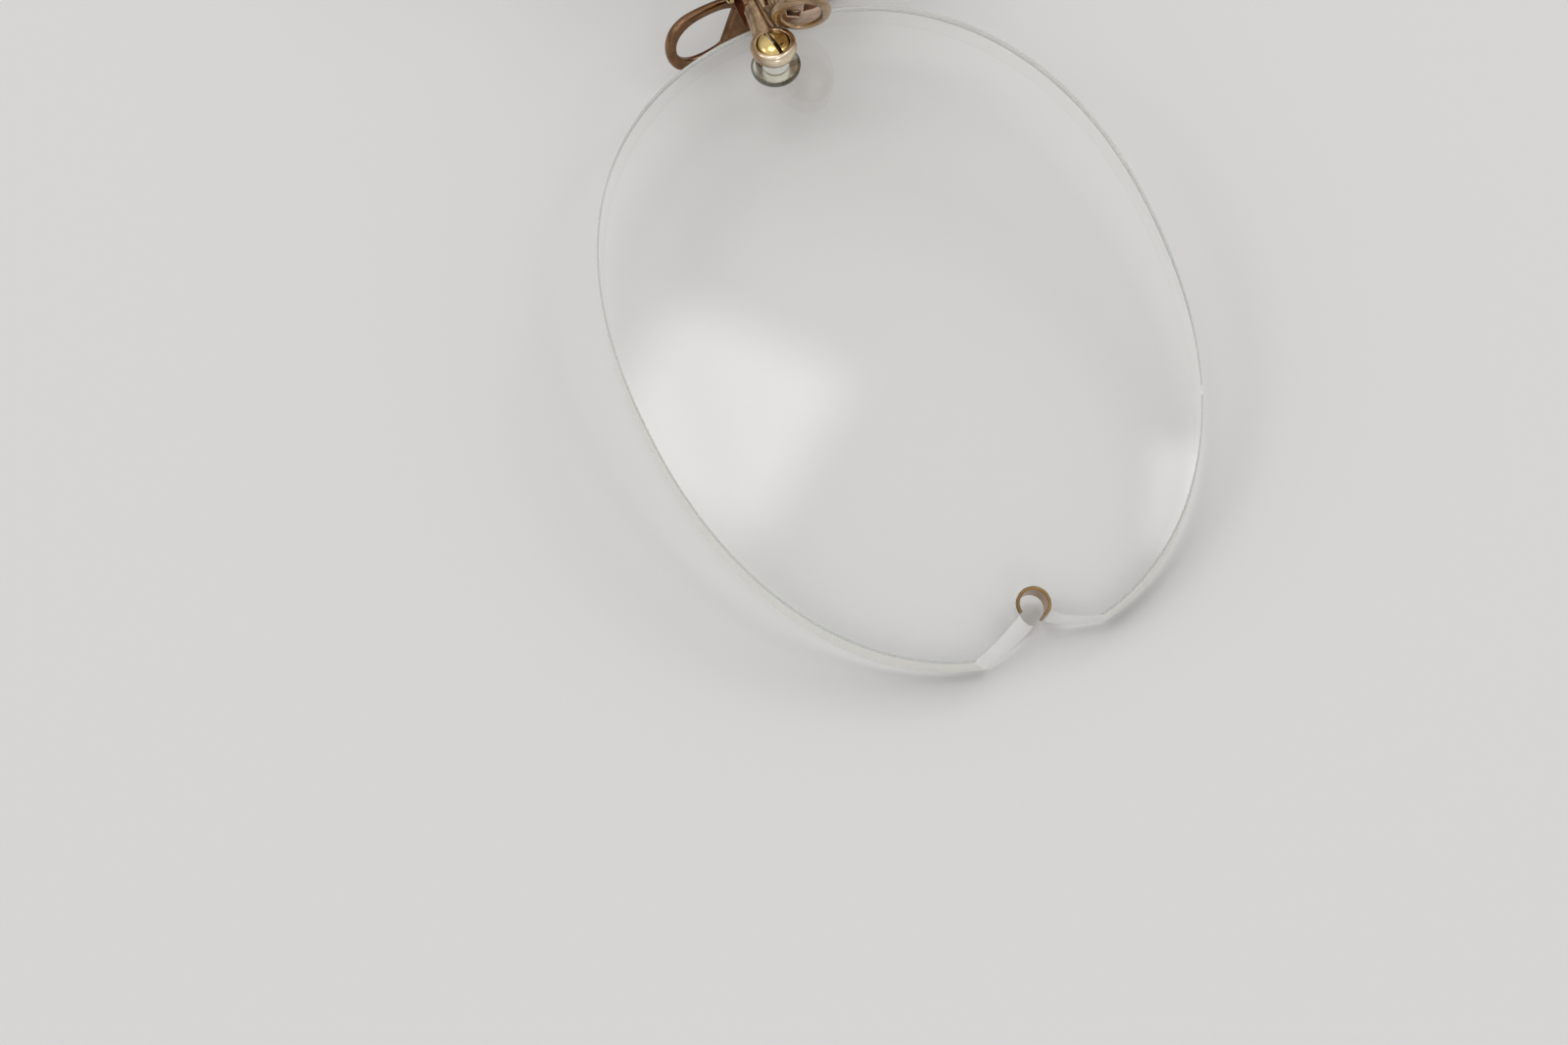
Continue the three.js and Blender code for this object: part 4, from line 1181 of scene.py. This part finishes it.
def lay_floor(stage):
    half = stage.floor_size / 2
    corners = [(-half, -half, 0), (half, -half, 0), (half, half, 0), (-half, half, 0)]
    mesh = bpy.data.meshes.new("floor")
    mesh.from_pydata(corners, [], [(0, 1, 2, 3)])
    material, _, shader, _ = new_material("pale_floor", base_color=stage.floor, roughness=0.9)
    shader.inputs["Specular IOR Level"].default_value = 0.1
    new_object("floor", dress(mesh, material))


def light_room(stage):
    """An even room, brighter overhead than around"""
    world = bpy.data.worlds.new("room")
    bpy.context.scene.world = world
    world.use_nodes = True
    tree = world.node_tree
    background = tree.nodes["Background"]
    way = node(tree, "ShaderNodeTexCoord").outputs["Generated"]
    up = node(tree, "ShaderNodeSeparateXYZ", vector=way).outputs["Z"]
    feed(tree, background.inputs["Color"], (1, 1, 1))
    level = 0.0
    overhead = 0.75
    light = spread(tree, up, level, overhead, stage.horizon, stage.zenith, "SMOOTHSTEP")
    feed(tree, background.inputs["Strength"], light)


def soften_edges(tree):
    """Let the face of a lamp grow dark from well inside its edges"""
    face = node(tree, "ShaderNodeNewGeometry").outputs["Parametric"]
    parts = node(tree, "ShaderNodeSeparateXYZ", vector=face).outputs
    middle = 0.5
    full_inside = 0.2
    soft = []
    for axis in ("X", "Y"):
        off = reckon(tree, "ABSOLUTE", reckon(tree, "SUBTRACT", parts[axis], middle))
        soft.append(spread(tree, off, middle, full_inside, kind="SMOOTHSTEP"))
    feed(tree, tree.nodes["Emission"].inputs["Strength"], reckon(tree, "MULTIPLY", *soft))


def hang_lamp(name, place, target, size, glow):
    """A softbox; the glass lets its light through as it is, so rays bent by the glass don't meet it again"""
    lamp = bpy.data.lights.new(name, "AREA")
    lamp.energy = glow * math.pi * size ** 2
    lamp.shape = "SQUARE"
    lamp.size = size
    lamp.use_nodes = True
    soften_edges(lamp.node_tree)
    holder = new_object(name, lamp)
    holder.location = place
    holder.rotation_euler = (place - target).to_track_quat("Z", "Y").to_euler()
    holder.visible_transmission = False


def set_camera(stage):
    right = CAMERA_RIGHT.normalized()
    down = (CAMERA_DOWN - right * CAMERA_DOWN.dot(right)).normalized()
    camera = bpy.data.cameras.new("camera")
    camera.sensor_fit = "HORIZONTAL"
    camera.angle = stage.view_angle
    camera.clip_start = 0.01
    holder = new_object("camera", camera)
    holder.matrix_world = Matrix.Translation(CAMERA_PLACE) @ basis(right, -down, right.cross(-down))
    bpy.context.scene.camera = holder


# Operators

def fit(name, mesh, body, node_name):
    """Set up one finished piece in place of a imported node"""
    mesh.name = name
    piece = new_object(name, mesh)
    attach(piece, body)
    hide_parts(node_name)


class PINCE_OT_lenses(bpy.types.Operator):
    """Build both lenses with their holes, ground edges and the break"""

    bl_idname = "pince.lenses"
    bl_label = "Lenses"

    def execute(self, context):
        lens = context.scene.pince_lens
        finishes = (polished_glass(), ground_glass(), broken_glass(), bevelled_glass())
        for side in SIDES:
            fit(f"glass_{side}", lens_mesh(lens, side, finishes), "frame", f"lens_{side}")
        return {"FINISHED"}


class PINCE_OT_bush(bpy.types.Operator):
    """Bend the split bush of the cord hole"""

    bl_idname = "pince.bush"
    bl_label = "Cord bush"

    def execute(self, context):
        mesh = bush_mesh(context.scene.pince_lens, context.scene.pince_mount)
        fit("bush", dress(mesh, metal("dark_bush_gold")), "frame", "cord_bush")
        return {"FINISHED"}


class PINCE_OT_castings(bpy.types.Operator):
    """Cast the straps, brackets, levers and the bridge with worn edges"""

    bl_idname = "pince.castings"
    bl_label = "Castings"

    def execute(self, context):
        lens = context.scene.pince_lens
        mount = context.scene.pince_mount
        tints = context.scene.pince_metal
        strap_grain = 0.8 * tints.grain
        bridge_grain = 1.5 * tints.grain
        strap_gold = strap_metal(lens, mount, tints)
        for side in SIDES:
            strap = dress(strap_mesh(lens, mount, side, strap_grain), strap_gold)
            fit(f"strap_{side}", strap, "frame", f"lens_strap_{side}")
            # The brackets' dark gold is partly tarnish and partly painted shade
            bracket = cast("bracket", [packed(f"pivot_bracket_{side}")], tints.grain)
            dress(bracket, metal("bracket_gold_painted_shade"))
            fit(f"bracket_{side}", bracket, "frame", f"pivot_bracket_{side}")
            arm = dress(cast("arm", [packed(f"lever_{side}")], tints.grain), metal("worn_rose_gold"))
            fit(f"arm_{side}", arm, f"{side}_lever", f"lever_{side}")
        arch = dress(cast("arch", [packed("bridge")], bridge_grain), metal("worn_rose_gold"))
        fit("arch", arch, "frame", "bridge")
        return {"FINISHED"}


class PINCE_OT_screws(bpy.types.Operator):
    """Turn the screws and rivets"""

    bl_idname = "pince.screws"
    bl_label = "Screws and rivets"

    def execute(self, context):
        lens = context.scene.pince_lens
        mount = context.scene.pince_mount
        finishes = (metal("worn_brass"), metal("slot_painted_shade"))
        for side in SIDES:
            lens_screw = lens_screw_mesh(lens, mount, side, finishes)
            fit(f"glass_screw_{side}", lens_screw, "frame", f"lens_screw_{side}")
            pivot_screw = pivot_screw_mesh(lens, mount, side, finishes)
            fit(f"hinge_screw_{side}", pivot_screw, "frame", f"pivot_screw_{side}")
            rivet = dress(rivet_mesh(lens, mount, side), metal("worn_guard_gold"))
            fit(f"rivet_{side}", rivet, f"{side}_lever", f"guard_rivet_{side}")
        return {"FINISHED"}


class PINCE_OT_plates(bpy.types.Operator):
    """Shape the finger pieces and the nose guards"""

    bl_idname = "pince.plates"
    bl_label = "Finger pieces and guards"

    def execute(self, context):
        lens = context.scene.pince_lens
        mount = context.scene.pince_mount
        finishes = (metal("worn_rose_gold"), metal("web_gold_painted_light"))
        for side in SIDES:
            finger = finger_mesh(lens, mount, side, finishes)
            fit(f"finger_plate_{side}", finger, f"{side}_lever", f"finger_piece_{side}")
            guard = dress(guard_mesh(lens, mount, side), metal("worn_guard_gold"))
            fit(f"guard_{side}", guard, f"{side}_lever", f"nose_guard_{side}")
        return {"FINISHED"}


class PINCE_OT_springs(bpy.types.Operator):
    """Wind both coil springs"""

    bl_idname = "pince.springs"
    bl_label = "Springs"

    def execute(self, context):
        for side in SIDES:
            wire = spring_mesh(context.scene.pince_lens, context.scene.pince_spring, side)
            fit(f"spring_{side}", dress(wire, metal("dull_steel")), "frame", f"coil_spring_{side}")
        return {"FINISHED"}


class PINCE_OT_stage(bpy.types.Operator):
    """Lay the floor, hang the lamps and set up the camera"""

    bl_idname = "pince.stage"
    bl_label = "Stage"

    def execute(self, context):
        stage = context.scene.pince_stage
        lay_floor(stage)
        light_room(stage)
        middle = lens_matrix(context.scene.pince_lens, "left").translation
        for name, way, size, glow in LAMPS:
            hang_lamp(name, middle + Vector(way).normalized() * stage.distance, middle, size * MM, glow)
        set_camera(stage)
        context.scene.view_settings.view_transform = "Standard"
        return {"FINISHED"}


GROUPS = {"pince_lens": LensSettings, "pince_mount": MountSettings, "pince_metal": MetalSettings,
          "pince_spring": SpringSettings, "pince_stage": StageSettings}
OPERATORS = (PINCE_OT_lenses, PINCE_OT_bush, PINCE_OT_castings, PINCE_OT_screws, PINCE_OT_plates,
             PINCE_OT_springs, PINCE_OT_stage)


class PINCE_PT_panel(bpy.types.Panel):
    """Sizes, colours and build steps of the pince-nez"""

    bl_idname = "PINCE_PT_panel"
    bl_label = "Pince-nez"
    bl_space_type = "VIEW_3D"
    bl_region_type = "UI"
    bl_category = "Pince-nez"

    def draw(self, context):
        for operator in OPERATORS:
            self.layout.operator(operator.bl_idname)
        for group in GROUPS:
            settings = getattr(context.scene, group)
            box = self.layout.box()
            for name in settings.__annotations__:
                box.prop(settings, name)


def register():
    for group, settings in GROUPS.items():
        bpy.utils.register_class(settings)
        setattr(bpy.types.Scene, group, PointerProperty(type=settings))
    for entry in (*OPERATORS, PINCE_PT_panel):
        bpy.utils.register_class(entry)


def unregister():
    for entry in (PINCE_PT_panel, *reversed(OPERATORS)):
        bpy.utils.unregister_class(entry)
    for group, settings in GROUPS.items():
        delattr(bpy.types.Scene, group)
        bpy.utils.unregister_class(settings)


def main():
    register()
    bpy.ops.pince.lenses()
    bpy.ops.pince.bush()
    bpy.ops.pince.castings()
    bpy.ops.pince.screws()
    bpy.ops.pince.plates()
    bpy.ops.pince.springs()
    bpy.ops.pince.stage()


if __name__ == "__main__":
    main()
